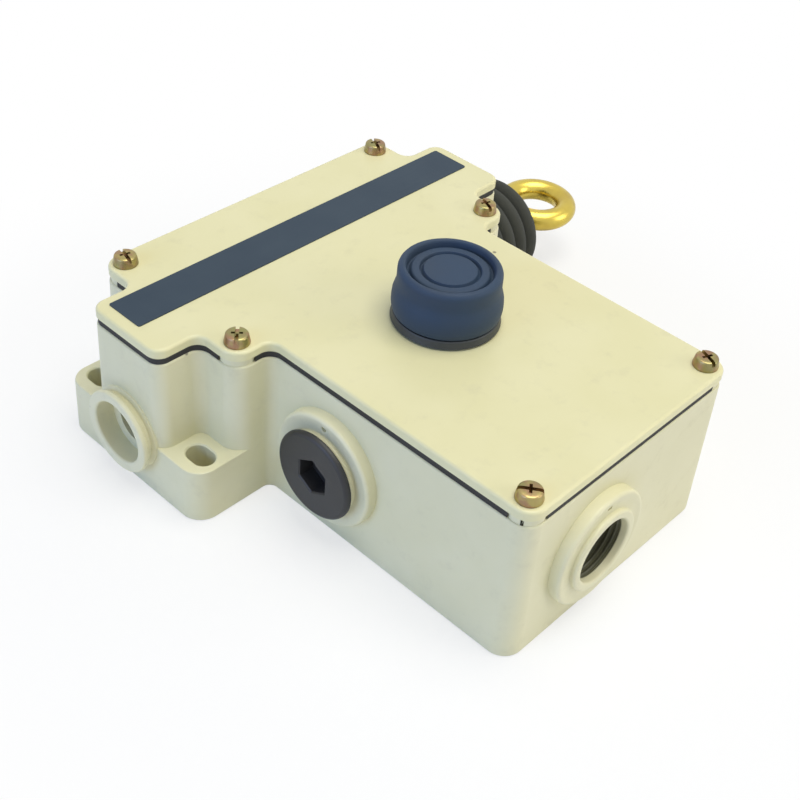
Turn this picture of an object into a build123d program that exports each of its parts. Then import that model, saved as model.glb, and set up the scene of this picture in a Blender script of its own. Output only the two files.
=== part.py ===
from build123d import *
import os
from math import atan, degrees, hypot

os.makedirs("parts", exist_ok=True)

# Rope pull switch, in millimetres. X runs along the rope, Z up from the mounting face.
# The origin lies on the mounting face under the rope axis, half way along the head.

# Outline of the housing and its lid, seen from above
box_half = 41.5
box_front = 115.5
shoulder_step = 12.3
head_step = 13.8
neck_half = 14.0
shoulder_reach = 14.3
shoulder_half = box_half + shoulder_step
head_half = shoulder_half + head_step
shoulder_depth = neck_half + shoulder_reach
head_round = 4.0
notch_round = 3.5
shoulder_round = 5.5
box_round = 5.0

# Heights from the mounting face
rim_z = 45.6
gasket_thick = 1.8
lid_thick = 3.0
floor_thick = 4.5
wall = 3.5
draft = 1.0
pad_z = rim_z + gasket_thick
lid_top = pad_z + lid_thick
draft_angle = degrees(atan(draft / rim_z))

# Screws of the lid
screw_inset = 5.0
shoulder_screw_y = shoulder_depth - screw_inset
shoulder_screw_x = shoulder_half - screw_inset
box_screw_x = box_half - screw_inset
box_screw_y = -box_front + screw_inset
lid_screw_places = [
    (side * x, y)
    for side in (-1, 1)
    for x, y in (
        (shoulder_screw_x, shoulder_screw_y),
        (shoulder_screw_x, -shoulder_screw_y),
        (box_screw_x, box_screw_y),
    )
]
post_radius = 8.0
pad_radius = 5.1
pad_setback = 0.5
lid_screw_radius = 2.0
lid_screw_length = 14.0
lid_head_radius = 3.75
lid_head_height = 3.0
thread_clearance = 0.05
lid_hole_clearance = 0.3

# Fixing lugs and their slots
lug_z = 17.5
lug_round = 5.5
lug_overlap = 2.5
slot_x = head_half - 6.6
slot_y = shoulder_depth - 6.3
slot_width = 6.5
slot_length = 9.0

# Rope axis: eye, rod, bushes, cam and springs
rope_z = 17.5
travel = 12.0
rod_radius = 4.0
running = 0.05
seat_gap = 0.3
bush_radius = 7.0
bush_flange = 9.5
bush_flange_thick = 2.0
bush_proud = 0.6
spigot_radius = 9.5
spigot_reach = 4.4
rod_shoulder_radius = 5.5
rod_shoulder_length = 2.0
gaiter_radius = 17.2
gaiter_valley = 14.0
gaiter_folds = 4
gaiter_wall = 1.2
gaiter_length = 21.6
gaiter_neck = 2.0
eye_ring_radius = 10.4
eye_wire_radius = 3.65
eye_shank_radius = 3.0
eye_grip = 12.0
nut_across_flats = 10.0
eye_nut_thick = 2.7

# Button that resets the latch
button_y = -51.4
bezel_radius = 15.0
bezel_height = 2.1
bezel_thread_radius = 11.0
seal_thick = 0.6
seal_radius = 14.2
button_travel = 3.5
boot_height = 16.7
boot_rim_rise = 1.1
boot_top_radius = 13.9
boot_waist_radius = 14.5
boot_belly_radius = 15.0
boot_belly_height = 6.0
boot_groove_radius = 11.0
boot_dish_radius = 7.6
boot_wall = 1.2
boot_top_wall = 1.9
cap_radius = 12.0
tube_bore = 9.5
tube_depth = 12.4
guide_length = 6.0
reset_coil_radius = 7.3
reset_wire_radius = 0.6
reset_turns = 5
stem_radius = 5.0
stem_tip_radius = 3.0
panel_nut_flats = 27.0
panel_nut_thick = 3.6

# Cable entries
entry_z = 22.9
front_entry_x = -12.7
side_entry_y = -52.1
entry_bore = 9.2
entry_disc_radius = 17.0
entry_disc_proud = 3.8
entry_ring_radius = 12.6
entry_ring_proud = 1.2
entry_rim_width = 1.5
entry_dish = 0.4
entry_edge = 0.7
plug_flange_radius = 13.1
plug_flange_thick = 1.8
plug_seal_thick = 0.5
plug_length = 8.0
plug_key_flats = 9.4
plug_key_depth = 5.0
collar_neck_radius = 11.1
collar_flange_radius = 12.8
collar_reach = 4.2
collar_flange_thick = 1.6
collar_depth = 6.0
collar_hole = 6.0


def case_outline(grow=0.0):
    """Sketch of the case outline seen from above, moved outwards by grow."""
    convex = [max(r + grow, 0.3) for r in (shoulder_round, head_round, box_round)]
    concave = max(notch_round - grow, 0.3)
    right = [
        (box_half + grow, -box_front - grow, convex[2]),
        (box_half + grow, -shoulder_depth - grow, concave),
        (shoulder_half + grow, -shoulder_depth - grow, convex[0]),
        (shoulder_half + grow, -neck_half - grow, concave),
        (head_half + grow, -neck_half - grow, convex[1]),
        (head_half + grow, neck_half + grow, convex[1]),
        (shoulder_half + grow, neck_half + grow, concave),
        (shoulder_half + grow, shoulder_depth + grow, convex[0]),
    ]
    corners = right + [(-x, y, r) for x, y, r in reversed(right)]
    with BuildSketch() as outline:
        with BuildLine():
            FilletPolyline(
                *[(x, y) for x, y, r in corners],
                radius=[r for x, y, r in corners],
                close=True,
            )
        make_face()
    return outline.sketch


def end_plane(x):
    """Plane across the rope axis at x: local x along Y, local y up from the axis."""
    return Plane(origin=(x, 0, rope_z), x_dir=(0, 1, 0), z_dir=(1, 0, 0))


# Standing planes through the rope axis and the button's axis, local y up from each
rope_plane = Plane(origin=(0, 0, rope_z), x_dir=(1, 0, 0), z_dir=(0, -1, 0))
button_plane = Plane(origin=(0, button_y, lid_top), x_dir=(1, 0, 0), z_dir=(0, -1, 0))
rope_axis = Axis((0, 0, rope_z), (1, 0, 0))
button_axis = Axis((0, button_y, 0), (0, 0, 1))
side_entry_plane = Plane(origin=(-box_half, side_entry_y, entry_z), x_dir=(0, -1, 0), z_dir=(-1, 0, 0))
front_entry_plane = Plane(origin=(front_entry_x, -box_front, entry_z), x_dir=(1, 0, 0), z_dir=(0, -1, 0))


def turned(profile, plane, axis, mode=Mode.ADD):
    """Solid of revolution in the current part, from (along or out, up) points."""
    with BuildSketch(plane) as section:
        with BuildLine():
            Polyline(*profile, close=True)
        make_face()
    revolve(section.sketch, axis=axis, mode=mode)


def ring_profile(inner, outer, low, high):
    """Rectangle of a ring about a standing axis."""
    return [(inner, low), (outer, low), (outer, high), (inner, high)]


def sleeve_profile(start, end, inner, outer):
    """Rectangle of a sleeve about a lying axis."""
    return [(start, inner), (end, inner), (end, outer), (start, outer)]


def circles_on(part, plane, radius):
    """Round edges of one radius that lie in a plane."""
    return part.edges().filter_by(
        lambda edge: edge.geom_type == GeomType.CIRCLE
        and abs(edge.radius - radius) < 0.01
        and abs(plane.to_local_coords(edge.arc_center).Z) < 0.01
    )


def save(part, name):
    """Labels the piece and writes its file."""
    part.label = name
    export_step(part, f"parts/{name}.step")


# Mechanism inside, along the rope axis from the rear upright to the guide bush
frame_thick = 2.0
frame_top = 33.5
frame_rear_x = -34.0
frame_front_x = 16.0
frame_rear_y = 13.0
frame_wall_y = -13.0
frame_screw_places = [(-24.0, 9.5), (12.0, 9.5), (-24.0, -9.5), (12.0, -9.5)]
small_screw_radius = 1.5
small_head_radius = 2.75
small_head_height = 1.8
small_screw_depth = 3.2
cam_slope = 0.25
cam_small_x = 2.0
cam_small_radius = 6.5
cam_length = 16.0
cam_back = 4.0
cam_hub = 4.0
cam_pin_radius = 1.25
collar_radius = 10.0
collar_x = 20.0
spring_collar_thick = 3.0
circlip_thick = 1.2
circlip_radius = 6.0
circlip_groove = 0.6
hub_radius = 6.2
main_coil_radius = 8.0
main_wire_radius = 1.1
main_turns = 7
rod_rear_x = -50.0
rear_bush_radius = 6.0
rear_bush_flange = 8.0

# Follower, contact blocks and latch, all on the button's side of the rope axis
follower_half = 4.0
follower_low = 16.0
follower_high = 19.0
follower_lift = travel * cam_slope
bar_y = -34.0
bar_depth = 4.0
bar_half = 16.0
bar_low = 11.0
notch_depth = 1.2
block_x = 12.0
block_half = 10.0
block_front = -42.0
block_length = 24.0
block_top = 22.0
block_ear = 6.0
block_ear_thick = 3.0
barrier_height = 3.0
pocket_half = 8.0
pocket_front = -50.0
pocket_length = 6.0
pocket_floor = 8.0
plunger_z = 13.5
plunger_radius = 2.0
plunger_stub_radius = 1.2
plate_thick = 0.8
plate_half = 2.5
terminal_x = 5.5
terminal_inset = 4.0
terminal_radius = 2.4
terminal_head = 1.6
terminal_shank = 1.2
terminal_depth = 6.0
bridge_thick = 0.8
latch_y = -38.0
latch_z = 30.0
latch_half = 3.5
latch_thick = 3.0
latch_pin_radius = 1.5
ear_thick = 2.0
tooth_y = -26.0
tooth_half = 1.0

# Places worked out from the sizes above
wall_outer_x = head_half + draft * (1 - rope_z / rim_z)
wall_inner_x = head_half - wall
spigot_end = wall_outer_x + spigot_reach
bush_inner_x = wall_inner_x - bush_flange_thick
gaiter_start = wall_outer_x + seat_gap
gaiter_end = gaiter_start + gaiter_length
rod_end = gaiter_end + gaiter_neck + seat_gap
cam_big_x = cam_small_x - cam_length
cam_big_radius = cam_small_radius + cam_length * cam_slope
bezel_low = seal_thick
bezel_high = seal_thick + bezel_height
cap_low = bezel_high + button_travel + 0.6
cap_high = boot_height - boot_rim_rise - boot_top_wall - seat_gap
floor_z = floor_thick
frame_z = floor_z + frame_thick
block_screw_places = [
    (side * block_x + step, block_front - block_length - block_ear / 2)
    for side in (-1, 1)
    for step in (-terminal_x, terminal_x)
]
pin_plane = Plane(origin=(cam_small_x + cam_hub / 2, 0, rope_z), x_dir=(1, 0, 0), z_dir=(0, 1, 0))
earth_place = (-24.0, -94.0)
earth_boss_radius = 5.0
earth_boss_z = floor_z + 4.0
earth_hole_depth = 6.0
earth_washer_thick = 0.8
earth_washer_width = 8.5


# Housing: one casting with head, terminal box, lugs, screw posts, entries and spigot
with BuildPart() as housing:
    with BuildSketch(Plane.XY):
        add(case_outline(draft))
    extrude(amount=rim_z, taper=draft_angle)
    lug_outer_x = head_half + draft
    lug_outer_y = shoulder_depth + draft
    lug_inner_x = shoulder_half - shoulder_round - lug_round - lug_overlap
    lug_inner_y = neck_half - head_round - lug_round - lug_overlap
    with BuildSketch(Plane.XY):
        with GridLocations(lug_outer_x + lug_inner_x, lug_outer_y + lug_inner_y, 2, 2):
            RectangleRounded(lug_outer_x - lug_inner_x, lug_outer_y - lug_inner_y, lug_round)
    extrude(amount=lug_z, taper=draft_angle)
    # Entry discs on the box's side and front, each dished inside its rim
    for plane in (side_entry_plane, front_entry_plane):
        with BuildSketch(plane.offset(-wall)):
            Circle(entry_disc_radius)
        extrude(amount=wall + entry_disc_proud)
        chamfer(circles_on(housing, plane.offset(entry_disc_proud), entry_disc_radius), entry_edge)
        with BuildSketch(plane.offset(entry_disc_proud)):
            Circle(entry_disc_radius - entry_rim_width)
        extrude(amount=-entry_dish, mode=Mode.SUBTRACT)
        with BuildSketch(plane.offset(-wall)):
            Circle(entry_ring_radius)
        extrude(amount=wall + entry_disc_proud + entry_ring_proud)
        ring_face_plane = plane.offset(entry_disc_proud + entry_ring_proud)
        chamfer(circles_on(housing, ring_face_plane, entry_ring_radius), entry_edge)
    # Collar on the far end and spigot for the gaiter
    turned(
        [
            (-wall_inner_x, 0),
            (-wall_inner_x, collar_neck_radius),
            (-wall_outer_x - collar_reach + collar_flange_thick, collar_neck_radius),
            (-wall_outer_x - collar_reach + collar_flange_thick, collar_flange_radius),
            (-wall_outer_x - collar_reach, collar_flange_radius),
            (-wall_outer_x - collar_reach, 0),
        ],
        rope_plane,
        rope_axis,
    )
    with BuildSketch(end_plane(wall_inner_x)):
        Circle(spigot_radius)
    extrude(amount=spigot_end - wall_inner_x)
    # Cavity, left solid at the six screw posts
    with BuildSketch(Plane.XY.offset(floor_z)):
        add(case_outline(-wall))
        with Locations(*lid_screw_places):
            Circle(post_radius, mode=Mode.SUBTRACT)
    extrude(amount=lid_top, mode=Mode.SUBTRACT)
    # Pads that carry the lid beside each screw
    with BuildSketch(Plane.XY.offset(rim_z)):
        add(case_outline(-pad_setback))
        with Locations(*lid_screw_places):
            Circle(pad_radius, mode=Mode.INTERSECT)
    extrude(amount=gasket_thick)
    with BuildSketch(Plane.XY.offset(pad_z)):
        with Locations(*lid_screw_places):
            Circle(lid_screw_radius + thread_clearance)
    extrude(amount=-lid_screw_length, mode=Mode.SUBTRACT)
    # Bores of the entries, the collar and the guide bush
    for plane in (side_entry_plane, front_entry_plane):
        with BuildSketch(plane.offset(entry_disc_proud + entry_ring_proud)):
            Circle(entry_bore)
        extrude(amount=-(entry_disc_proud + entry_ring_proud + wall + 0.5), mode=Mode.SUBTRACT)
        with BuildSketch(plane.offset(entry_disc_proud)):
            with Locations((0, entry_ring_radius + 1.7)):
                Circle(0.8)
        extrude(amount=-entry_dish - 1.0, mode=Mode.SUBTRACT)
    turned(
        [
            (-wall_outer_x - collar_reach - 1, 0),
            (-wall_outer_x - collar_reach - 1, entry_bore),
            (-wall_outer_x - collar_reach + collar_depth, entry_bore),
            (-wall_outer_x - collar_reach + collar_depth, collar_hole),
            (-wall_inner_x + 1, collar_hole),
            (-wall_inner_x + 1, 0),
        ],
        rope_plane,
        rope_axis,
        mode=Mode.SUBTRACT,
    )
    with BuildSketch(end_plane(spigot_end)):
        Circle(bush_radius)
    extrude(amount=-(spigot_end - wall_inner_x + 1), mode=Mode.SUBTRACT)
    # Slots through the lugs
    with BuildSketch(Plane.XY):
        with GridLocations(2 * slot_x, 2 * slot_y, 2, 2):
            SlotOverall(slot_length, slot_width, rotation=90)
    extrude(amount=lug_z + 1, mode=Mode.SUBTRACT)
    # Screw holes in the floor and the earth boss
    with BuildSketch(Plane.XY.offset(floor_z)):
        with Locations(earth_place):
            Circle(earth_boss_radius)
    extrude(amount=earth_boss_z - floor_z)
    with BuildSketch(Plane.XY.offset(floor_z)):
        with Locations(*frame_screw_places, *block_screw_places):
            Circle(small_screw_radius + thread_clearance)
    extrude(amount=-small_screw_depth, mode=Mode.SUBTRACT)
    with BuildSketch(Plane.XY.offset(earth_boss_z)):
        with Locations(earth_place):
            Circle(lid_screw_radius + thread_clearance)
    extrude(amount=-earth_hole_depth, mode=Mode.SUBTRACT)
save(housing.part, "housing")

# Gasket: follows the rim and passes inside each screw
gasket_inset = 0.3
gasket_width = 2.9
pad_gap = 0.2
with BuildPart() as lid_gasket:
    with BuildSketch(Plane.XY.offset(rim_z)):
        add(case_outline(-gasket_inset))
        add(case_outline(-gasket_inset - gasket_width), mode=Mode.SUBTRACT)
    extrude(amount=gasket_thick)
    with BuildSketch(Plane.XY.offset(rim_z)):
        with Locations(*lid_screw_places):
            Circle(post_radius)
        add(case_outline(-gasket_inset), mode=Mode.INTERSECT)
    extrude(amount=gasket_thick)
    with BuildSketch(Plane.XY.offset(rim_z)):
        with Locations(*lid_screw_places):
            Circle(pad_radius + pad_gap)
    extrude(amount=gasket_thick, mode=Mode.SUBTRACT)
save(lid_gasket.part, "lid_gasket")

# Lid: plate with rounded upper edge and a locating rib that drops inside the walls
lid_edge_bevel = 0.9
rib_height = 2.5
rib_gap = 0.4
rib_thick = 1.4
with BuildPart() as lid:
    with BuildSketch(Plane.XY.offset(pad_z)):
        add(case_outline())
    extrude(amount=lid_thick)
    chamfer(lid.faces().sort_by(Axis.Z)[-1].edges(), lid_edge_bevel)
    with BuildSketch(Plane.XY.offset(pad_z)):
        add(case_outline(-wall - rib_gap))
        add(case_outline(-wall - rib_gap - rib_thick), mode=Mode.SUBTRACT)
        with Locations(*lid_screw_places):
            Circle(post_radius + rib_gap, mode=Mode.SUBTRACT)
    extrude(amount=-rib_height)
    with BuildSketch(Plane.XY.offset(lid_top)):
        with Locations(*lid_screw_places):
            Circle(lid_screw_radius + lid_hole_clearance)
        with Locations((0, button_y)):
            Circle(bezel_thread_radius + thread_clearance)
    extrude(amount=-lid_thick, mode=Mode.SUBTRACT)
save(lid.part, "lid")

# Label band: bare anodised plate across the head
band_margin = 3.8
band_half = head_half - band_margin
band_low = -2.2
band_high = 10.7
band_thick = 0.3
with BuildPart() as label_band:
    with BuildSketch(Plane.XY.offset(lid_top)):
        with Locations((0, (band_low + band_high) / 2)):
            RectangleRounded(2 * band_half, band_high - band_low, 0.6)
    extrude(amount=band_thick)
save(label_band.part, "label_band")

# Lid screws: six alike, slotted cheese heads
slot_cut = 1.1
head_bevel = 0.8
with BuildPart() as lid_screws:
    with BuildSketch(Plane.XY.offset(lid_top)):
        with Locations(*lid_screw_places):
            Circle(lid_head_radius)
    extrude(amount=lid_head_height)
    chamfer(lid_screws.faces().filter_by(Axis.Z).group_by(Axis.Z)[-1].edges(), head_bevel)
    with BuildSketch(Plane.XY.offset(lid_top)):
        with Locations(*lid_screw_places):
            Circle(lid_screw_radius)
    extrude(amount=-lid_thick - lid_screw_length + 1)
    with BuildSketch(Plane.XY.offset(lid_top + lid_head_height)):
        with Locations(*lid_screw_places):
            Rectangle(2 * lid_head_radius + 1, slot_cut)
    extrude(amount=-lid_head_height / 2, mode=Mode.SUBTRACT)
save(lid_screws.part, "lid_screws")

# Blanking plug with its seal in the side entry
ring_face = entry_disc_proud + entry_ring_proud
with BuildPart() as blanking_plug:
    with BuildSketch(side_entry_plane.offset(ring_face + plug_seal_thick)):
        Circle(plug_flange_radius)
    extrude(amount=plug_flange_thick)
    fillet(blanking_plug.faces().sort_by(Axis.X)[0].edges(), 1.0)
    with BuildSketch(side_entry_plane.offset(ring_face + plug_seal_thick)):
        Circle(entry_bore - running)
    extrude(amount=-plug_length)
    with BuildSketch(side_entry_plane.offset(ring_face + plug_seal_thick + plug_flange_thick)):
        RegularPolygon(plug_key_flats / 2, 6, major_radius=False, rotation=30)
    extrude(amount=-plug_key_depth, mode=Mode.SUBTRACT)
save(blanking_plug.part, "blanking_plug")

with BuildPart() as plug_seal:
    with BuildSketch(side_entry_plane.offset(ring_face)):
        Circle(entry_ring_radius - 0.8)
        Circle(entry_bore + 0.1, mode=Mode.SUBTRACT)
    extrude(amount=plug_seal_thick)
save(plug_seal.part, "plug_seal")

# Guide bush through the head's end wall, with its flange inside
with BuildPart() as guide_bush:
    turned(
        [
            (bush_inner_x, rod_radius + running),
            (bush_inner_x, bush_flange),
            (wall_inner_x, bush_flange),
            (wall_inner_x, bush_radius),
            (spigot_end + bush_proud, bush_radius),
            (spigot_end + bush_proud, rod_radius + running),
        ],
        rope_plane,
        rope_axis,
    )
save(guide_bush.part, "guide_bush")

# Pull rod: shoulder outside the bush, tapped end for the eye, groove for the circlip
shoulder_x = spigot_end + bush_proud + seat_gap
with BuildPart() as pull_rod:
    turned(
        [
            (rod_rear_x, 0),
            (rod_rear_x, rod_radius - 0.6),
            (rod_rear_x + 0.6, rod_radius),
            (collar_x - circlip_thick, rod_radius),
            (collar_x - circlip_thick, rod_radius - circlip_groove),
            (collar_x, rod_radius - circlip_groove),
            (collar_x, rod_radius),
            (shoulder_x, rod_radius),
            (shoulder_x, rod_shoulder_radius),
            (shoulder_x + rod_shoulder_length, rod_shoulder_radius),
            (shoulder_x + rod_shoulder_length, rod_radius),
            (rod_end, rod_radius),
            (rod_end, eye_shank_radius + running),
            (rod_end - eye_grip, eye_shank_radius + running),
            (rod_end - eye_grip - 1.5, 0),
        ],
        rope_plane,
        rope_axis,
    )
    with BuildSketch(pin_plane):
        Circle(cam_pin_radius)
    extrude(amount=rod_radius + 1, both=True, mode=Mode.SUBTRACT)
save(pull_rod.part, "pull_rod")

# Eye bolt: closed ring on a shank with a small collar
eye_ring_x = rod_end + seat_gap + eye_nut_thick + running
eye_centre_x = eye_ring_x + eye_wire_radius + eye_ring_radius
eye_neck = 1.6
with BuildPart() as eye_bolt:
    with BuildSketch(rope_plane):
        with Locations((eye_centre_x + eye_ring_radius, 0)):
            Circle(eye_wire_radius)
    revolve(axis=Axis((eye_centre_x, 0, 0), (0, 0, 1)))
    turned(
        [
            (rod_end - eye_grip + seat_gap, 0),
            (rod_end - eye_grip + seat_gap, eye_shank_radius),
            (eye_ring_x + eye_neck, eye_shank_radius),
            (eye_ring_x + eye_wire_radius, eye_shank_radius / 2),
            (eye_ring_x + eye_wire_radius, 0),
        ],
        rope_plane,
        rope_axis,
    )
save(eye_bolt.part, "eye_bolt")

with BuildPart() as eye_lock_nut:
    with BuildSketch(end_plane(rod_end + seat_gap)):
        RegularPolygon(nut_across_flats / 2, 6, major_radius=False)
        Circle(eye_shank_radius + running, mode=Mode.SUBTRACT)
    extrude(amount=eye_nut_thick)
save(eye_lock_nut.part, "eye_lock_nut")

# Gaiter: moulded rubber bellows from the housing's spigot to the rod's end
fold_pitch = gaiter_length / gaiter_folds
crest = 1.4


def gaiter_folds_outline(outer, inner, shrink):
    """Zigzag of the folds as (along, out) points, narrowed by shrink for the inside."""
    points = []
    for fold in range(gaiter_folds):
        middle = gaiter_start + (fold + 0.5) * fold_pitch
        points += [(middle - crest / 2 + shrink, outer), (middle + crest / 2 - shrink, outer)]
        if fold < gaiter_folds - 1:
            valley = gaiter_start + (fold + 1) * fold_pitch
            points += [(valley - 0.5, inner), (valley + 0.5, inner)]
    return points


gaiter_cuff = spigot_radius + seat_gap
with BuildPart() as gaiter:
    outside = gaiter_folds_outline(gaiter_radius, gaiter_valley, 0.0)
    inside = gaiter_folds_outline(gaiter_radius - gaiter_wall, gaiter_valley - gaiter_wall, 0.3)
    turned(
        [(gaiter_start, gaiter_cuff), (gaiter_start, gaiter_valley), *outside]
        + [
            (gaiter_end, gaiter_valley),
            (gaiter_end, rod_radius + seat_gap + 2.0),
            (gaiter_end + gaiter_neck, rod_radius + seat_gap + 1.6),
            (gaiter_end + gaiter_neck, rod_radius + seat_gap),
            (gaiter_end - gaiter_wall, rod_radius + seat_gap),
            (gaiter_end - gaiter_wall, gaiter_valley - gaiter_wall),
        ]
        + inside[::-1]
        + [
            (gaiter_start + gaiter_wall, gaiter_valley - gaiter_wall),
            (gaiter_start + gaiter_wall, gaiter_cuff),
        ],
        rope_plane,
        rope_axis,
    )
save(gaiter.part, "gaiter")

# Cam sleeve: a cone that lifts the follower as the rod slides out, pinned to the rod
with BuildPart() as cam_sleeve:
    turned(
        [
            (cam_big_x - cam_back, rod_radius),
            (cam_big_x - cam_back, cam_big_radius),
            (cam_big_x, cam_big_radius),
            (cam_small_x, cam_small_radius),
            (cam_small_x + cam_hub, cam_small_radius),
            (cam_small_x + cam_hub, rod_radius),
        ],
        rope_plane,
        rope_axis,
    )
    with BuildSketch(pin_plane):
        Circle(cam_pin_radius)
    extrude(amount=cam_small_radius + 1, both=True, mode=Mode.SUBTRACT)
save(cam_sleeve.part, "cam_sleeve")

with BuildPart() as cam_pin:
    with BuildSketch(pin_plane):
        Circle(cam_pin_radius)
    extrude(amount=cam_small_radius - 0.2, both=True)
save(cam_pin.part, "cam_pin")

# Spring collar, its circlip and the main spring that draws the eye back in
spring_start = collar_x + spring_collar_thick
hub_end = bush_inner_x - travel - seat_gap
with BuildPart() as spring_collar:
    turned(
        [
            (collar_x, rod_radius),
            (collar_x, collar_radius),
            (spring_start, collar_radius),
            (spring_start, hub_radius),
            (hub_end, hub_radius),
            (hub_end, rod_radius),
        ],
        rope_plane,
        rope_axis,
    )
save(spring_collar.part, "spring_collar")

with BuildPart() as collar_circlip:
    turned(
        sleeve_profile(collar_x - circlip_thick, collar_x, rod_radius - circlip_groove, circlip_radius),
        rope_plane,
        rope_axis,
    )
    with BuildSketch(end_plane(collar_x - circlip_thick)):
        with Locations((0, circlip_radius)):
            Rectangle(2.4, 2 * circlip_radius)
    extrude(amount=circlip_thick, mode=Mode.SUBTRACT)
save(collar_circlip.part, "collar_circlip")


def coil(start, length, coil_radius, wire_radius, turns, axis_plane):
    """Wire wound along the plane's normal, in the current part, with six flats round it."""
    clear = wire_radius + seat_gap
    pitch = (length - 2 * clear) / turns
    base = axis_plane.offset(start + clear)
    with BuildLine() as winding:
        Helix(pitch, pitch * turns, coil_radius, center=base.origin, direction=base.z_dir)
    with BuildSketch(Plane(origin=winding.line @ 0, z_dir=winding.line % 0)) as section:
        RegularPolygon(wire_radius, 6)
    sweep(section.sketch, path=winding.line, is_frenet=True)


with BuildPart() as main_spring:
    spring_room = bush_inner_x - spring_start
    coil(spring_start, spring_room, main_coil_radius, main_wire_radius, main_turns, end_plane(0))
save(main_spring.part, "main_spring")

# Mechanism frame: folded steel, carries the rod's rear bush, the follower and the latch
slot_play = 0.15
with BuildPart() as mechanism_frame:
    frame_depth = frame_rear_y - frame_wall_y
    with BuildSketch(Plane.XY.offset(floor_z)):
        base_centre_x = (frame_rear_x + frame_front_x) / 2
        base_centre_y = (frame_rear_y + frame_wall_y - frame_thick) / 2
        with Locations((base_centre_x, base_centre_y)):
            Rectangle(frame_front_x - frame_rear_x, frame_depth + frame_thick)
    extrude(amount=frame_thick)
    with BuildSketch(Plane.XY.offset(floor_z)):
        with Locations((frame_rear_x + frame_thick / 2, 0)):
            Rectangle(frame_thick, 2 * frame_rear_y - frame_thick)
    extrude(amount=rope_z + rear_bush_flange + 2 - floor_z)
    with BuildSketch(Plane.XY.offset(floor_z)):
        with Locations((0, frame_wall_y - frame_thick / 2)):
            Rectangle(2 * frame_front_x, frame_thick)
    extrude(amount=frame_top - floor_z)
    # Two arms that reach over the follower and hold the latch pin
    arm_far_y = latch_y - 4.0
    arm_low = latch_z - 3.5
    for side in (-1, 1):
        arm_x = side * (latch_half + seat_gap + ear_thick / 2)
        with BuildSketch(Plane.XY.offset(arm_low)):
            with Locations((arm_x, (frame_wall_y + arm_far_y) / 2)):
                Rectangle(ear_thick, frame_wall_y - arm_far_y)
        extrude(amount=frame_top - arm_low)
    latch_plane = Plane(origin=(0, latch_y, latch_z), x_dir=(0, 1, 0), z_dir=(1, 0, 0))
    with BuildSketch(latch_plane):
        Circle(latch_pin_radius)
    extrude(amount=latch_half + seat_gap + ear_thick + 1, both=True, mode=Mode.SUBTRACT)
    with BuildSketch(Plane(origin=(0, frame_wall_y, 0), x_dir=(1, 0, 0), z_dir=(0, -1, 0))):
        with Locations((0, (follower_low + follower_high) / 2)):
            Rectangle(2 * (follower_half + slot_play), follower_high - follower_low + 2 * slot_play)
    extrude(amount=frame_thick, mode=Mode.SUBTRACT)
    with BuildSketch(end_plane(frame_rear_x)):
        Circle(rear_bush_radius)
    extrude(amount=frame_thick, mode=Mode.SUBTRACT)
    with BuildSketch(Plane.XY.offset(floor_z)):
        with Locations(*frame_screw_places):
            Circle(small_screw_radius + thread_clearance)
    extrude(amount=frame_thick, mode=Mode.SUBTRACT)
save(mechanism_frame.part, "mechanism_frame")

with BuildPart() as rear_bush:
    turned(
        [
            (frame_rear_x - 2.0, rod_radius + running),
            (frame_rear_x - 2.0, rear_bush_flange),
            (frame_rear_x, rear_bush_flange),
            (frame_rear_x, rear_bush_radius),
            (frame_rear_x + 2 * frame_thick, rear_bush_radius),
            (frame_rear_x + 2 * frame_thick, rod_radius + running),
        ],
        rope_plane,
        rope_axis,
    )
save(rear_bush.part, "rear_bush")


def floor_screws(places, head_z):
    """Small cheese-head screws in the current part, down into the housing's floor."""
    with BuildSketch(Plane.XY.offset(head_z)) as heads:
        with Locations(*places):
            Circle(small_head_radius)
    extrude(heads.sketch, amount=small_head_height)
    with BuildSketch(Plane.XY.offset(head_z)) as shanks:
        with Locations(*places):
            Circle(small_screw_radius)
    extrude(shanks.sketch, amount=-(head_z - floor_z + small_screw_depth - 0.2))
    with BuildSketch(Plane.XY.offset(head_z + small_head_height)) as slots:
        with Locations(*places):
            Rectangle(2 * small_head_radius + 1, 0.8)
    extrude(slots.sketch, amount=-small_head_height / 2, mode=Mode.SUBTRACT)


with BuildPart() as frame_screws:
    floor_screws(frame_screw_places, frame_z)
save(frame_screws.part, "frame_screws")

# Follower: plate with a rounded nose on the cam, a latch notch and a bar for both plungers
nose_radius = follower_half
cam_radius_at_nose = cam_small_radius + cam_small_x * cam_slope
nose_y = -(cam_radius_at_nose + hypot(1, cam_slope) * (nose_radius + seat_gap))
notch_y = tooth_y + follower_lift
with BuildPart() as follower_slide:
    with BuildSketch(Plane.XY.offset(follower_low)):
        with Locations((0, nose_y)):
            Circle(nose_radius)
        with Locations((0, (nose_y + bar_y) / 2)):
            Rectangle(2 * follower_half, nose_y - bar_y)
    extrude(amount=follower_high - follower_low)
    with BuildSketch(Plane.XY.offset(bar_low)):
        with Locations((0, bar_y - bar_depth / 2)):
            Rectangle(2 * bar_half, bar_depth)
    extrude(amount=follower_high - bar_low)
    fillet(follower_slide.edges().filter_by(Axis.Z).group_by(Axis.Y)[0], 1.0)
    with BuildSketch(Plane.XY.offset(follower_high)):
        with Locations((0, notch_y)):
            Rectangle(2 * follower_half, 2 * tooth_half + 2 * seat_gap)
    extrude(amount=-notch_depth, mode=Mode.SUBTRACT)
save(follower_slide.part, "follower_slide")

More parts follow.
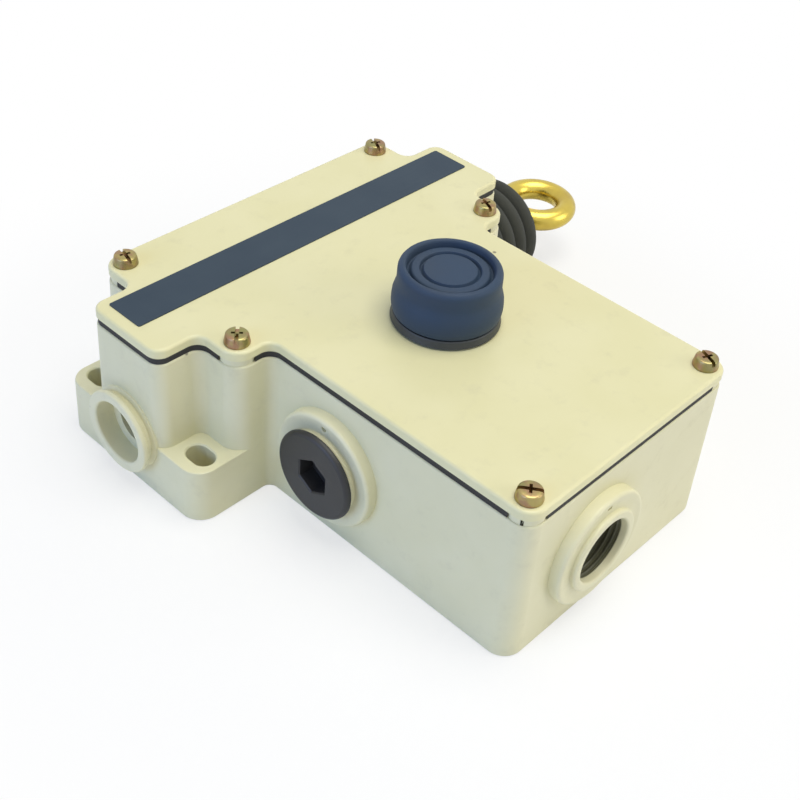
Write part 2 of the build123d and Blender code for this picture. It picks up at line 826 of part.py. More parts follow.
# Plungers and bridges of the two contact blocks, carried by the follower's bar
bridge_y = pocket_front - plate_thick - seat_gap
with BuildPart() as contact_plungers:
    bar_back = bar_y - bar_depth
    with BuildSketch(Plane(origin=(0, bar_back, plunger_z), x_dir=(1, 0, 0), z_dir=(0, -1, 0))):
        with Locations((-block_x, 0), (block_x, 0)):
            Circle(plunger_radius)
    extrude(amount=bar_back - bridge_y)
    with BuildSketch(Plane(origin=(0, bridge_y, plunger_z), x_dir=(1, 0, 0), z_dir=(0, -1, 0))):
        with Locations((-block_x, 0), (block_x, 0)):
            Circle(plunger_stub_radius)
    extrude(amount=2 * bridge_thick)
save(contact_plungers.part, "contact_plungers")

with BuildPart() as contact_bridges:
    with BuildSketch(Plane(origin=(0, bridge_y, plunger_z), x_dir=(1, 0, 0), z_dir=(0, -1, 0))):
        with Locations((-block_x, 0), (block_x, 0)):
            Rectangle(2 * (pocket_half - 0.5), 2 * plate_half)
            Circle(plunger_stub_radius, mode=Mode.SUBTRACT)
    extrude(amount=bridge_thick)
save(contact_bridges.part, "contact_bridges")

# Contact blocks: moulded, with an open pocket for the bridge and an ear on the floor
pocket_back = pocket_front - pocket_length
block_back = block_front - block_length
terminal_rows = (block_front - terminal_inset, block_back + terminal_inset)
for side, block_name in ((-1, "contact_block_left"), (1, "contact_block_right")):
    with BuildPart() as contact_block:
        with BuildSketch(Plane.XY.offset(floor_z)):
            with Locations((side * block_x, block_front - block_length / 2)):
                Rectangle(2 * block_half, block_length)
        extrude(amount=block_top - floor_z)
        with BuildSketch(Plane.XY.offset(floor_z)):
            with Locations((side * block_x, block_back - block_ear / 2)):
                Rectangle(2 * block_half, block_ear)
        extrude(amount=block_ear_thick)
        with BuildSketch(Plane.XY.offset(pocket_floor)):
            with Locations((side * block_x, pocket_front - pocket_length / 2)):
                Rectangle(2 * pocket_half, pocket_length)
        extrude(amount=block_top - pocket_floor, mode=Mode.SUBTRACT)
        with BuildSketch(Plane(origin=(0, block_front, plunger_z), x_dir=(1, 0, 0), z_dir=(0, -1, 0))):
            with Locations((side * block_x, 0)):
                Circle(plunger_radius + 2 * running)
        extrude(amount=block_front - pocket_front, mode=Mode.SUBTRACT)
        with BuildSketch(Plane.XY.offset(block_top)):
            for row in terminal_rows:
                with Locations((side * block_x - terminal_x, row), (side * block_x + terminal_x, row)):
                    Circle(terminal_shank + thread_clearance)
        extrude(amount=-terminal_depth - 0.5, mode=Mode.SUBTRACT)
        with BuildSketch(Plane.XY.offset(floor_z)):
            with Locations(*[place for place in block_screw_places if place[0] * side > 0]):
                Circle(small_screw_radius + thread_clearance)
        extrude(amount=block_ear_thick, mode=Mode.SUBTRACT)
        # Barrier between the two terminals of each row
        with BuildSketch(Plane.XY.offset(block_top)):
            for row in terminal_rows:
                with Locations((side * block_x, row)):
                    Rectangle(1.6, 2 * terminal_inset - 1)
        extrude(amount=barrier_height)
    save(contact_block.part, block_name)

# Terminal plates: bent strips, flat on a block and down one wall of its pocket
terminal_columns = [side * block_x + step for side in (-1, 1) for step in (-terminal_x, terminal_x)]
with BuildPart() as terminal_plates:
    for column in terminal_columns:
        for wall_y, end_y, inwards in (
            (pocket_front, block_front - 0.8, -1),
            (pocket_back, block_back + 0.8, 1),
        ):
            with BuildSketch(Plane(origin=(column, 0, 0), x_dir=(0, 1, 0), z_dir=(1, 0, 0))):
                with BuildLine():
                    Polyline(
                        (end_y, block_top),
                        (wall_y, block_top),
                        (wall_y, plunger_z - plate_half),
                        (wall_y + inwards * plate_thick, plunger_z - plate_half),
                        (wall_y + inwards * plate_thick, block_top + plate_thick),
                        (end_y, block_top + plate_thick),
                        close=True,
                    )
                make_face()
            extrude(amount=plate_half - 2 * running, both=True)
    with BuildSketch(Plane.XY.offset(block_top)):
        for row in terminal_rows:
            with Locations(*[(column, row) for column in terminal_columns]):
                Circle(terminal_shank + thread_clearance)
    extrude(amount=plate_thick, mode=Mode.SUBTRACT)
save(terminal_plates.part, "terminal_plates")

with BuildPart() as terminal_screws:
    terminal_places = [(column, row) for column in terminal_columns for row in terminal_rows]
    head_z = block_top + plate_thick
    with BuildSketch(Plane.XY.offset(head_z)):
        with Locations(*terminal_places):
            Circle(terminal_radius)
    extrude(amount=terminal_head)
    with BuildSketch(Plane.XY.offset(head_z)):
        with Locations(*terminal_places):
            Circle(terminal_shank)
    extrude(amount=-plate_thick - terminal_depth)
    with BuildSketch(Plane.XY.offset(head_z + terminal_head)):
        with Locations(*terminal_places):
            Rectangle(2 * terminal_radius + 1, 0.7)
    extrude(amount=-terminal_head / 2, mode=Mode.SUBTRACT)
save(terminal_screws.part, "terminal_screws")

with BuildPart() as block_screws:
    floor_screws(block_screw_places, floor_z + block_ear_thick)
save(block_screws.part, "block_screws")

# Latch: a lever on a pin, whose tooth holds the follower until the button tips it
latch_plane = Plane(origin=(0, latch_y, latch_z), x_dir=(0, 1, 0), z_dir=(1, 0, 0))
tooth_drop = latch_z - follower_high - seat_gap
with BuildPart() as latch_lever:
    with BuildSketch(latch_plane):
        front_reach = tooth_y + 2 * tooth_half - latch_y
        rear_reach = latch_y - button_y + 2.0
        with Locations(((front_reach - rear_reach) / 2, 0)):
            Rectangle(front_reach + rear_reach, latch_thick)
        Circle(latch_pin_radius + 1.7)
        with Locations((tooth_y - latch_y, -tooth_drop / 2)):
            Rectangle(2 * tooth_half, tooth_drop)
    extrude(amount=latch_half, both=True)
    fillet(latch_lever.edges().filter_by(Axis.Z).group_by(Axis.Y)[0], 1.0)
    with BuildSketch(latch_plane):
        Circle(latch_pin_radius + running)
    extrude(amount=latch_half, both=True, mode=Mode.SUBTRACT)
save(latch_lever.part, "latch_lever")

latch_pin_half = latch_half + seat_gap + ear_thick
with BuildPart() as latch_pin:
    with BuildSketch(latch_plane):
        Circle(latch_pin_radius)
    extrude(amount=latch_pin_half + 0.8, both=True)
    with BuildSketch(latch_plane.offset(-latch_pin_half)):
        Circle(latch_pin_radius + 0.8)
    extrude(amount=-0.8)
save(latch_pin.part, "latch_pin")

# Latch spring: leaf fixed to the frame that presses on the lever's front end
leaf_thick = 0.5
with BuildPart() as latch_spring:
    leaf_root = frame_wall_y - frame_thick
    leaf_z = latch_z + latch_thick / 2 + seat_gap
    with BuildSketch(Plane(origin=(0, 0, 0), x_dir=(0, 1, 0), z_dir=(1, 0, 0))):
        with BuildLine():
            Polyline(
                (leaf_root, leaf_z - 5),
                (leaf_root, leaf_z + leaf_thick),
                (tooth_y - tooth_half, leaf_z + leaf_thick),
                (tooth_y - tooth_half, leaf_z),
                (leaf_root - leaf_thick, leaf_z),
                (leaf_root - leaf_thick, leaf_z - 5),
                close=True,
            )
        make_face()
    extrude(amount=latch_half - 1.0, both=True)
save(latch_spring.part, "latch_spring")

# Reset button: seal, bezel through the lid, nut below it, stem, cap, boot and spring
with BuildPart() as reset_seal:
    turned(
        ring_profile(bezel_thread_radius + seat_gap, seal_radius, 0, bezel_low),
        button_plane,
        button_axis,
    )
save(reset_seal.part, "reset_seal")

with BuildPart() as reset_bezel:
    turned(
        [
            (stem_radius + running, -tube_depth),
            (bezel_thread_radius, -tube_depth),
            (bezel_thread_radius, bezel_low),
            (bezel_radius, bezel_low),
            (boot_waist_radius, bezel_high),
            (tube_bore, bezel_high),
            (tube_bore, -tube_depth + guide_length),
            (stem_radius + running, -tube_depth + guide_length),
        ],
        button_plane,
        button_axis,
    )
    bezel_rims = reset_bezel.edges().filter_by(GeomType.CIRCLE).group_by(Axis.Z)[-1]
    fillet(bezel_rims.sort_by(SortBy.RADIUS)[-1], 0.5)
save(reset_bezel.part, "reset_bezel")

with BuildPart() as reset_nut:
    with BuildSketch(Plane(origin=(0, button_y, pad_z), x_dir=(1, 0, 0), z_dir=(0, 0, 1))):
        RegularPolygon(panel_nut_flats / 2, 6, major_radius=False)
        Circle(bezel_thread_radius + thread_clearance, mode=Mode.SUBTRACT)
    extrude(amount=-panel_nut_thick)
save(reset_nut.part, "reset_nut")

stem_tip_h = latch_z + latch_thick / 2 + seat_gap - lid_top
with BuildPart() as reset_stem:
    turned(
        [
            (0, stem_tip_h),
            (stem_tip_radius, stem_tip_h),
            (stem_tip_radius, -tube_depth),
            (stem_radius, -tube_depth),
            (stem_radius, cap_low),
            (0, cap_low),
        ],
        button_plane,
        button_axis,
    )
    fillet(reset_stem.faces().sort_by(Axis.Z)[0].edges(), stem_tip_radius - 0.1)
save(reset_stem.part, "reset_stem")

with BuildPart() as reset_cap:
    turned(
        [(0, cap_low), (cap_radius, cap_low), (cap_radius, cap_high), (0, cap_high)],
        button_plane,
        button_axis,
    )
    fillet(reset_cap.faces().sort_by(Axis.Z)[-1].edges(), 0.8)
save(reset_cap.part, "reset_cap")

with BuildPart() as reset_boot:
    boot_low = bezel_high + seat_gap
    boot_inside = cap_high + seat_gap
    boot_middle = boot_height - boot_rim_rise
    turned(
        [
            (boot_waist_radius - boot_wall, boot_low),
            (boot_waist_radius, boot_low),
            (boot_belly_radius, boot_belly_height),
            (boot_top_radius + 0.1, boot_height - 2.7),
            (boot_top_radius, boot_height - 0.9),
            (boot_top_radius - 0.5, boot_height - 0.3),
            (boot_top_radius - 1.3, boot_height),
            (boot_top_radius - 1.9, boot_height - 0.2),
            (boot_groove_radius, boot_middle - 0.8),
            (boot_groove_radius - 0.9, boot_middle),
            (boot_dish_radius + 0.8, boot_middle),
            (boot_dish_radius, boot_middle - 0.7),
            (boot_dish_radius - 0.8, boot_middle),
            (0, boot_middle),
            (0, boot_inside),
            (cap_radius + 2 * seat_gap, boot_inside),
            (boot_top_radius + 0.1 - boot_wall, boot_height - 2.7),
            (boot_belly_radius - boot_wall, boot_belly_height),
        ],
        button_plane,
        button_axis,
    )
save(reset_boot.part, "reset_boot")

with BuildPart() as reset_spring:
    spring_base = Plane(origin=(0, button_y, lid_top), x_dir=(1, 0, 0), z_dir=(0, 0, 1))
    spring_low = -tube_depth + guide_length
    coil(spring_low, cap_low - spring_low, reset_coil_radius, reset_wire_radius, reset_turns, spring_base)
save(reset_spring.part, "reset_spring")

# Earth terminal on its boss in the box
with BuildPart() as earth_washer:
    with BuildSketch(Plane.XY.offset(earth_boss_z)):
        with Locations(earth_place):
            Rectangle(earth_washer_width, earth_washer_width)
            Circle(lid_screw_radius + lid_hole_clearance, mode=Mode.SUBTRACT)
    extrude(amount=earth_washer_thick)
save(earth_washer.part, "earth_washer")

with BuildPart() as earth_screw:
    head_z = earth_boss_z + earth_washer_thick
    with BuildSketch(Plane.XY.offset(head_z)):
        with Locations(earth_place):
            Circle(lid_head_radius)
    extrude(amount=lid_head_height)
    with BuildSketch(Plane.XY.offset(head_z)):
        with Locations(earth_place):
            Circle(lid_screw_radius)
    extrude(amount=-earth_washer_thick - earth_hole_depth + 0.5)
    with BuildSketch(Plane.XY.offset(head_z + lid_head_height)):
        with Locations(earth_place):
            Rectangle(2 * lid_head_radius + 1, slot_cut)
    extrude(amount=-lid_head_height / 2, mode=Mode.SUBTRACT)
save(earth_screw.part, "earth_screw")
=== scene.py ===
import bmesh
import bpy
import math
from mathutils import Matrix, Vector


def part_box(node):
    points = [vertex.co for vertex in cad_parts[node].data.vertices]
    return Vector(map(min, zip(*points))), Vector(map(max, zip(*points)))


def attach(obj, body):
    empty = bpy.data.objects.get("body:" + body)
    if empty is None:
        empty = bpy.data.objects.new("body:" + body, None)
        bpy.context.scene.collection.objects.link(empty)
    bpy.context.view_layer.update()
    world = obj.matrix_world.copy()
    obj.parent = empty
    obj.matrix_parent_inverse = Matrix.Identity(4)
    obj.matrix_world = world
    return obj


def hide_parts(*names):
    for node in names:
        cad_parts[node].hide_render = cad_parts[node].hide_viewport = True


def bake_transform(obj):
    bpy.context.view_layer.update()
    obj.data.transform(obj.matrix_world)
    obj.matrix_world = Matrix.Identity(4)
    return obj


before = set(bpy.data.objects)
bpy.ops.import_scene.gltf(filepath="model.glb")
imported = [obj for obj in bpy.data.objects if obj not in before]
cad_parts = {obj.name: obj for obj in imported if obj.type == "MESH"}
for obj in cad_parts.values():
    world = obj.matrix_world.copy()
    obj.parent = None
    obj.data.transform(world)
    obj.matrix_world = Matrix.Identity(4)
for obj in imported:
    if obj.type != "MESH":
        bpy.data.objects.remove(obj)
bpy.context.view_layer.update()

# Housing: one aluminium die casting with walls that taper towards the rim, four slotted
# lugs, two entry discs and an end collar. It is stove enamelled cream, inside the collar too.
MM = 0.001


class Tone:
    """A value, colour or vector in a material, which Python's operators can combine."""

    def __init__(self, finish, socket):
        self.finish = finish
        self.socket = socket

    def math(self, operation, *values):
        return self.finish.node("ShaderNodeMath", {"operation": operation}, dict(enumerate(values)))

    def __add__(self, other):
        return self.math("ADD", self, other)

    def __sub__(self, other):
        return self.math("SUBTRACT", self, other)

    def __rsub__(self, other):
        return self.math("SUBTRACT", other, self)

    def __mul__(self, other):
        return self.math("MULTIPLY", self, other)

    def __pow__(self, other):
        return self.math("POWER", self, other)

    def above(self, low, high):
        """0 below low, 1 above high, smooth between."""
        values = {"Value": self, "From Min": low, "From Max": high}
        return self.finish.node("ShaderNodeMapRange", {"interpolation_type": "SMOOTHSTEP"}, values)

    __radd__ = __add__


class Finish:
    """A material made node by node, with one glossy shader at its end."""

    def __init__(self, name, **constants):
        self.material = bpy.data.materials.new(name)
        self.material.use_nodes = True
        self.tree = self.material.node_tree
        self.shader = self.tree.nodes["Principled BSDF"]
        for socket, value in constants.items():
            self.shader.inputs[socket.replace("_", " ")].default_value = value

    def node(self, kind, settings, values, output=0):
        """A node of that kind: its settings first, then its sockets' values or links."""
        made = self.tree.nodes.new(kind)
        for name, value in settings.items():
            setattr(made, name, value)
        for name, value in values.items():
            self.feed(made.inputs[name], value)
        return Tone(self, made.outputs[output])

    def feed(self, socket, value):
        if isinstance(value, Tone):
            self.tree.links.new(value.socket, socket)
        else:
            socket.default_value = value

    def place(self, scale=(1, 1, 1), shift=(0, 0, 0)):
        """Object coordinates, stretched and shifted."""
        point = self.node("ShaderNodeTexCoord", {}, {}, "Object")
        return self.node("ShaderNodeMapping", {}, {"Vector": point, "Scale": scale, "Location": shift})

    def noise(self, point, scale, detail=3, roughness=0.5):
        values = {"Vector": point, "Scale": scale, "Detail": detail, "Roughness": roughness}
        return self.node("ShaderNodeTexNoise", {}, values)

    def mix(self, factor, first, second):
        """One colour at factor 0, the other at 1."""
        return self.node("ShaderNodeMix", {"data_type": "RGBA"}, {0: factor, 6: first, 7: second}, 2)

    def bump(self, height, distance, strength=1.0):
        values = {"Height": height, "Distance": distance, "Strength": strength}
        self.surface(Normal=self.node("ShaderNodeBump", {}, values))

    def surface(self, **values):
        for socket, value in values.items():
            self.feed(self.shader.inputs[socket.replace("_", " ")], value)


def enamel(name, colour, deep, gloss, bores=()):
    """Stove enamel: faint orange peel, slight clouding, patches of dust and dark specks.
    Bores are (axis, centre, radius, mouth, end) of threads that are left bare; their near
    black tone is bare metal with the bore's shade painted in."""
    paint = Finish(name, IOR=1.5)
    point = paint.place()
    cloud = paint.noise(point, 38, 4)
    grime = paint.noise(point, 140, 5, 0.65).above(0.52, 0.78)
    speck_point = paint.place(shift=(0.07, 0.03, 0.02))
    cells = {"Vector": speck_point, "Scale": 95}
    speck_size = paint.node("ShaderNodeTexVoronoi", {"feature": "F1"}, cells, "Distance")
    speck_here = paint.noise(speck_point, 55, 1).above(0.58, 0.61)
    speck = speck_here * (1 - speck_size.above(0.03, 0.07))
    tint = paint.mix(cloud.above(0.3, 0.7), colour, deep)
    tint = paint.mix(grime * 0.16, tint, (0.45, 0.42, 0.31, 1))
    tint = paint.mix(speck * 0.75, tint, (0.12, 0.1, 0.07, 1))
    if bores:
        split = paint.node("ShaderNodeSeparateXYZ", {}, {"Vector": point})
        axes = [Tone(paint, split.socket.node.outputs[index]) for index in range(3)]
        bare_and_shaded = None
        for axis, centre, radius, mouth, end in bores:
            others = [(axes[index] - centre[index] * MM) ** 2 for index in range(3) if index != axis]
            inside = 1 - ((others[0] + others[1]) ** 0.5).above((radius - 0.02) * MM, (radius + 0.05) * MM)
            past_mouth = (axes[axis] - mouth * MM).above(-0.2 * MM, 0.3 * MM)
            past_end = (axes[axis] - end * MM).above(0, 0.3 * MM)
            shaded_thread = inside * past_mouth * (1 - past_end)
            bare_and_shaded = shaded_thread if bare_and_shaded is None else bare_and_shaded + shaded_thread
        # Painted shade: the bare threads are tinted near black, for bare metal in the bore's shadow
        tint = paint.mix(bare_and_shaded, tint, (0.13, 0.13, 0.08, 1))
    paint.surface(Base_Color=tint, Roughness=gloss + grime * 0.16 + cloud * 0.08)
    peel = paint.noise(point, 900, 2) * 0.6 + paint.noise(point, 2600, 1) * 0.4
    paint.bump(peel, 0.00003, 0.5)
    return paint.material


# The outline's reach is read off the lid, and its steps and corners are the casting's own
lid_low, lid_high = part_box("lid")
housing_low, housing_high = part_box("housing")
head_half = lid_high[0] / MM
shoulder_depth = lid_high[1] / MM
box_front = -lid_low[1] / MM
neck_half = 14.0
shoulder_half = 53.8
box_half = 41.5
draft = 1.0
wall = 3.5
rim_z = 45.6
pad_z = housing_high[2] / MM
least_round = 0.25


def rounded(corners, steps=9):
    """Closed outline through (x, y, radius) corners, with each one drawn as an arc."""
    points = []
    for index, (x, y, radius) in enumerate(corners):
        here = Vector((x, y))
        before = (Vector(corners[index - 1][:2]) - here).normalized()
        after = (Vector(corners[(index + 1) % len(corners)][:2]) - here).normalized()
        half = before.angle(after) / 2
        centre = here + (before + after).normalized() * radius / math.sin(half)
        start = here + before * radius / math.tan(half) - centre
        turn = math.pi - 2 * half
        if before.x * after.y - before.y * after.x > 0:
            turn = -turn
        for step in range(steps + 1):
            angle = turn * step / steps
            across = Vector((-start.y, start.x))
            points.append(centre + start * math.cos(angle) + across * math.sin(angle))
    return points


def case_outline(grow=0.0):
    """Outline of the case in millimetres, anticlockwise from above, moved outwards by grow."""
    right = [
        (box_half + grow, -box_front - grow, 5.0 + grow),
        (box_half + grow, -shoulder_depth - grow, 3.5 - grow),
        (shoulder_half + grow, -shoulder_depth - grow, 5.5 + grow),
        (shoulder_half + grow, -neck_half - grow, 3.5 - grow),
        (head_half + grow, -neck_half - grow, 4.0 + grow),
        (head_half + grow, neck_half + grow, 4.0 + grow),
        (shoulder_half + grow, neck_half + grow, 3.5 - grow),
        (shoulder_half + grow, shoulder_depth + grow, 5.5 + grow),
    ]
    corners = right + [(-x, y, r) for x, y, r in reversed(right)]
    return rounded([(x, y, max(r, least_round)) for x, y, r in corners])


def skin(name, rings, lids=True):
    """Mesh object stretched over rings of as many points each, in millimetres. Lids close its ends."""
    sheet = bmesh.new()
    rows = [[sheet.verts.new(Vector(point) * MM) for point in ring] for ring in rings]
    count = len(rows[0])
    for low, high in zip(rows, rows[1:]):
        for index in range(count):
            after = (index + 1) % count
            sheet.faces.new((low[index], low[after], high[after], high[index]))
    if lids:
        sheet.faces.new(rows[0][::-1])
        sheet.faces.new(rows[-1])
    bmesh.ops.recalc_face_normals(sheet, faces=sheet.faces)
    mesh = bpy.data.meshes.new(name)
    sheet.to_mesh(mesh)
    sheet.free()
    made = bpy.data.objects.new(name, mesh)
    bpy.context.scene.collection.objects.link(made)
    return made


def slab(name, outline_of, levels):
    """Solid whose outline grows or shrinks with height: levels are (height, grow) pairs."""
    return skin(name, [[(p[0], p[1], z) for p in outline_of(grow)] for z, grow in levels])


def turned(name, profile, centre, along, steps=96, hollow=False):
    """Solid of revolution about an axis from (distance along, radius) points, in millimetres.
    A hollow one's profile closes on itself."""
    along = Vector(along)
    side = along.orthogonal().normalized()
    other = along.cross(side)
    rings = []
    for reach, radius in profile:
        ring = []
        for step in range(steps):
            angle = 2 * math.pi * step / steps
            out = side * math.cos(angle) + other * math.sin(angle)
            ring.append(Vector(centre) + along * reach + out * max(radius, 0.001))
        rings.append(ring)
    if hollow:
        rings.append(rings[0])
    return skin(name, rings, not hollow)


def arc(centre, radius, start, end, steps=6):
    """Points of an arc in a profile, by angles in degrees."""
    points = []
    for step in range(steps + 1):
        angle = math.radians(start + (end - start) * step / steps)
        points.append((centre[0] + radius * math.cos(angle), centre[1] + radius * math.sin(angle)))
    return points


def combine(target, tool, operation):
    """Adds, cuts or keeps with another solid, which is used up."""
    step = target.modifiers.new("combine", "BOOLEAN")
    step.operation = operation
    step.object = tool
    step.solver = "EXACT"
    settle(target)
    bpy.data.objects.remove(tool)


def settle(piece):
    """Turns a piece with its modifiers into a plain mesh."""
    bpy.context.view_layer.update()
    shape = piece.evaluated_get(bpy.context.evaluated_depsgraph_get())
    mesh = bpy.data.meshes.new_from_object(shape)
    piece.modifiers.clear()
    piece.data = mesh


def finish_mesh(piece, material, sharp=35):
    """Smooths a piece except at its sharp edges, and gives it its material."""
    tidy = bmesh.new()
    tidy.from_mesh(piece.data)
    bmesh.ops.remove_doubles(tidy, verts=tidy.verts, dist=0.004 * MM)
    bmesh.ops.dissolve_degenerate(tidy, edges=tidy.edges, dist=0.002 * MM)
    tidy.to_mesh(piece.data)
    tidy.free()
    piece.data.shade_smooth()
    piece.data.set_sharp_from_angle(angle=math.radians(sharp))
    weights = piece.modifiers.new("weights", "WEIGHTED_NORMAL")
    weights.keep_sharp = True
    settle(piece)
    piece.data.materials.clear()
    piece.data.materials.append(material)


base_round = 0.8
rim_round = 0.6
base_levels = [
    (0.0, draft - base_round),
    (base_round * 0.3, draft - base_round * 0.3),
    (base_round, draft * (1 - base_round / rim_z)),
]
casting = slab("casting", case_outline, base_levels + [
    (rim_z - rim_round, draft * rim_round / rim_z),
    (rim_z - rim_round * 0.5, -rim_round * 0.13),
    (rim_z - rim_round * 0.13, -rim_round * 0.5),
    (rim_z, -rim_round),
])

# Each lug is a rounded block that stands as high as the rope's axis
rope_z = 17.5
lug_top = rope_z
lug_edge = 0.7
lug_root = 40.0
lug_inner = 2.0


def lug_outline(grow, side, end):
    """Outline of the lug on one side and end, moved outwards by grow."""
    high_x, high_y = head_half + grow, shoulder_depth + grow
    corners = [
        (lug_root, lug_inner, 2.0),
        (high_x, lug_inner, 2.0),
        (high_x, high_y, 5.5 + grow),
        (lug_root, high_y, 2.0),
    ]
    if side * end < 0:
        corners.reverse()
    return rounded([(side * x, end * y, r) for x, y, r in corners])


lug_draft = draft * (1 - lug_top / rim_z)
lug_levels = base_levels + [
    (lug_top - lug_edge, lug_draft),
    (lug_top - lug_edge * 0.3, lug_draft - lug_edge * 0.3),
    (lug_top, lug_draft - lug_edge),
]
for side in (-1, 1):
    for end in (-1, 1):
        lug = slab("lug", lambda grow: lug_outline(grow, side, end), lug_levels)
        combine(casting, lug, "UNION")

# Entry discs: a thick rounded rim, a dished face and a raised ring round the bore
entry_z = 22.9
side_entry = (-box_half, -52.1, entry_z)
front_entry = (-12.7, -box_front, entry_z)
disc_radius = 17.0
disc_proud = 3.8
ring_radius = 12.1
ring_proud = 5.0
entry_bore = 9.2
disc_profile = [(-wall, 0.0), (-wall, disc_radius), (disc_proud - 1.0, disc_radius)]
disc_profile += arc((disc_proud - 1.0, disc_radius - 1.0), 1.0, 90, 0, 6)[1:]
disc_profile += [(disc_proud - 0.1, disc_radius - 1.9), (disc_proud - 0.35, disc_radius - 2.5)]
disc_profile += [(disc_proud - 0.4, ring_radius + 0.4), (disc_proud - 0.2, ring_radius)]
disc_profile += [(ring_proud - 0.8, ring_radius)]
disc_profile += arc((ring_proud - 0.8, ring_radius - 0.8), 0.8, 90, 0, 5)[1:]
disc_profile += [(ring_proud, 0.0)]
entries = (("side", side_entry, (-1, 0, 0)), ("front", front_entry, (0, -1, 0)))
for name, place, along in entries:
    combine(casting, turned("disc_" + name, disc_profile, place, along), "UNION")

# End collar: a lipped ring on a short neck, opposite the spigot that holds the gaiter
collar_face = -housing_low[0] / MM
collar_neck = 11.1
collar_lip = 12.4
collar_profile = [
    (head_half - 3.0, 0.0),
    (head_half - 3.0, collar_neck + 1.2),
    (head_half + 0.9, collar_neck + 1.2),
    (head_half + 1.5, collar_neck),
    (collar_face - 1.9, collar_neck),
    (collar_face - 1.7, collar_lip - 0.3),
    (collar_face - 1.3, collar_lip),
    (collar_face - 0.6, collar_lip),
]
collar_profile += arc((collar_face - 0.6, collar_lip - 0.6), 0.6, 90, 0, 4)[1:]
collar_profile += [(collar_face, 0.0)]
combine(casting, turned("collar", collar_profile, (0, 0, rope_z), (-1, 0, 0)), "UNION")


def cylinder(name, start, end, radius, centre, along=(0, 0, 1), steps=64):
    """Plain cylinder between two distances along an axis, in millimetres."""
    return turned(name, [(start, 0), (start, radius), (end, radius), (end, 0)], centre, along, steps)


spigot_radius = 9.5
spigot_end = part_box("guide_bush")[1][0] / MM - 0.6
spigot_start = 60.0
spigot_at = (0, 0, rope_z)
spigot = cylinder("spigot", spigot_start, spigot_end, spigot_radius, spigot_at, (1, 0, 0), 96)
combine(casting, spigot, "UNION")

# Pads beside the screws carry the lid and interrupt the gasket's line
screws_right = ((48.8, 23.3), (48.8, -23.3), (36.5, -110.5))
screw_places = [(side * x, y) for side in (-1, 1) for x, y in screws_right]
pad_radius = 4.6
pad_setback = 0.5
pad_root = rim_z - 6
for x, y in screw_places:
    pad = cylinder("pad", pad_root, pad_z, pad_radius, (x, y, 0))
    shape = slab("shape", case_outline, [(pad_root, -pad_setback), (pad_z, -pad_setback)])
    combine(pad, shape, "INTERSECT")
    combine(casting, pad, "UNION")

# The inside, the bores and the slots are cut last
floor_z = 4.5
post_radius = 8.0
combine(casting, slab("hollow", case_outline, [(floor_z, -wall), (pad_z + 5, -wall)]), "DIFFERENCE")
for x, y in screw_places:
    post = cylinder("post", floor_z - 1, pad_z, post_radius, (x, y, 0), steps=48)
    inside = slab("inside", case_outline, [(floor_z - 2, -wall + 0.5), (rim_z - 0.02, -wall + 0.5)])
    combine(post, inside, "INTERSECT")
    combine(casting, post, "UNION")
thread_pitch = 1.5
thread_mouth = ring_proud - 2.0
bore_profile = [(-wall - 3, 0.0), (-wall - 3, entry_bore)]
thread_turns = 6
thread_depth = 0.6
groove = ((0.0, 0.0), (0.2, 0.0), (0.65, thread_depth), (0.95, thread_depth))
for turn in range(thread_turns):
    root = thread_mouth - (thread_turns - turn) * thread_pitch
    bore_profile += [(root + along, entry_bore + out) for along, out in groove]
bore_profile += [(thread_mouth - 0.1, entry_bore), (ring_proud - 1.0, entry_bore + 0.25)]
bore_profile += arc((ring_proud - 0.75, entry_bore + 1.0), 0.75, 270, 360, 5)[1:]
bore_profile += [(ring_proud + 1, entry_bore + 1.0), (ring_proud + 1, 0)]
dimple_rise = 14.3
dimple_floor = disc_proud - 1.6
dimple_profile = [(dimple_floor, 0), (dimple_floor, 0.8), (6, 0.95), (6, 0)]
for name, place, along in entries:
    combine(casting, turned("bore_" + name, bore_profile, place, along), "DIFFERENCE")
    dimple_place = Vector(place) + Vector((0, 0, dimple_rise))
    combine(casting, turned("dimple", dimple_profile, dimple_place, along, 24), "DIFFERENCE")
passage_radius = 6.0
passage_start = head_half - wall - 1
socket_depth = 6.0
socket_profile = [
    (passage_start, 0),
    (passage_start, passage_radius),
    (collar_face - socket_depth, passage_radius),
    (collar_face - socket_depth, entry_bore),
    (collar_face - 0.8, entry_bore),
]
socket_profile += arc((collar_face - 0.8, entry_bore + 0.8), 0.8, 270, 360, 5)[1:]
socket_profile += [(collar_face + 1, entry_bore + 0.8), (collar_face + 1, 0)]
combine(casting, turned("socket", socket_profile, (0, 0, rope_z), (-1, 0, 0)), "DIFFERENCE")
bush_radius = 7.0
bush_bore = cylinder("bush_bore", 55, 80, bush_radius, (0, 0, rope_z), (1, 0, 0), 96)
combine(casting, bush_bore, "DIFFERENCE")

# The slots of the lugs take a screw each and are slightly bevelled at both ends
slot_width = 6.5
slot_length = 9.0
slot_x = 61
slot_y = 22
slot_below = 0.5
slot_above = 0.4


def slot_outline(grow, x, y):
    """Outline of the slot at a place, with round ends, moved outwards by grow."""
    half_x = slot_width / 2 + grow
    half_y = slot_length / 2 + grow
    corners = [(half_x, -half_y), (half_x, half_y), (-half_x, half_y), (-half_x, -half_y)]
    return rounded([(x + dx, y + dy, half_x - 0.001) for dx, dy in corners], 8)


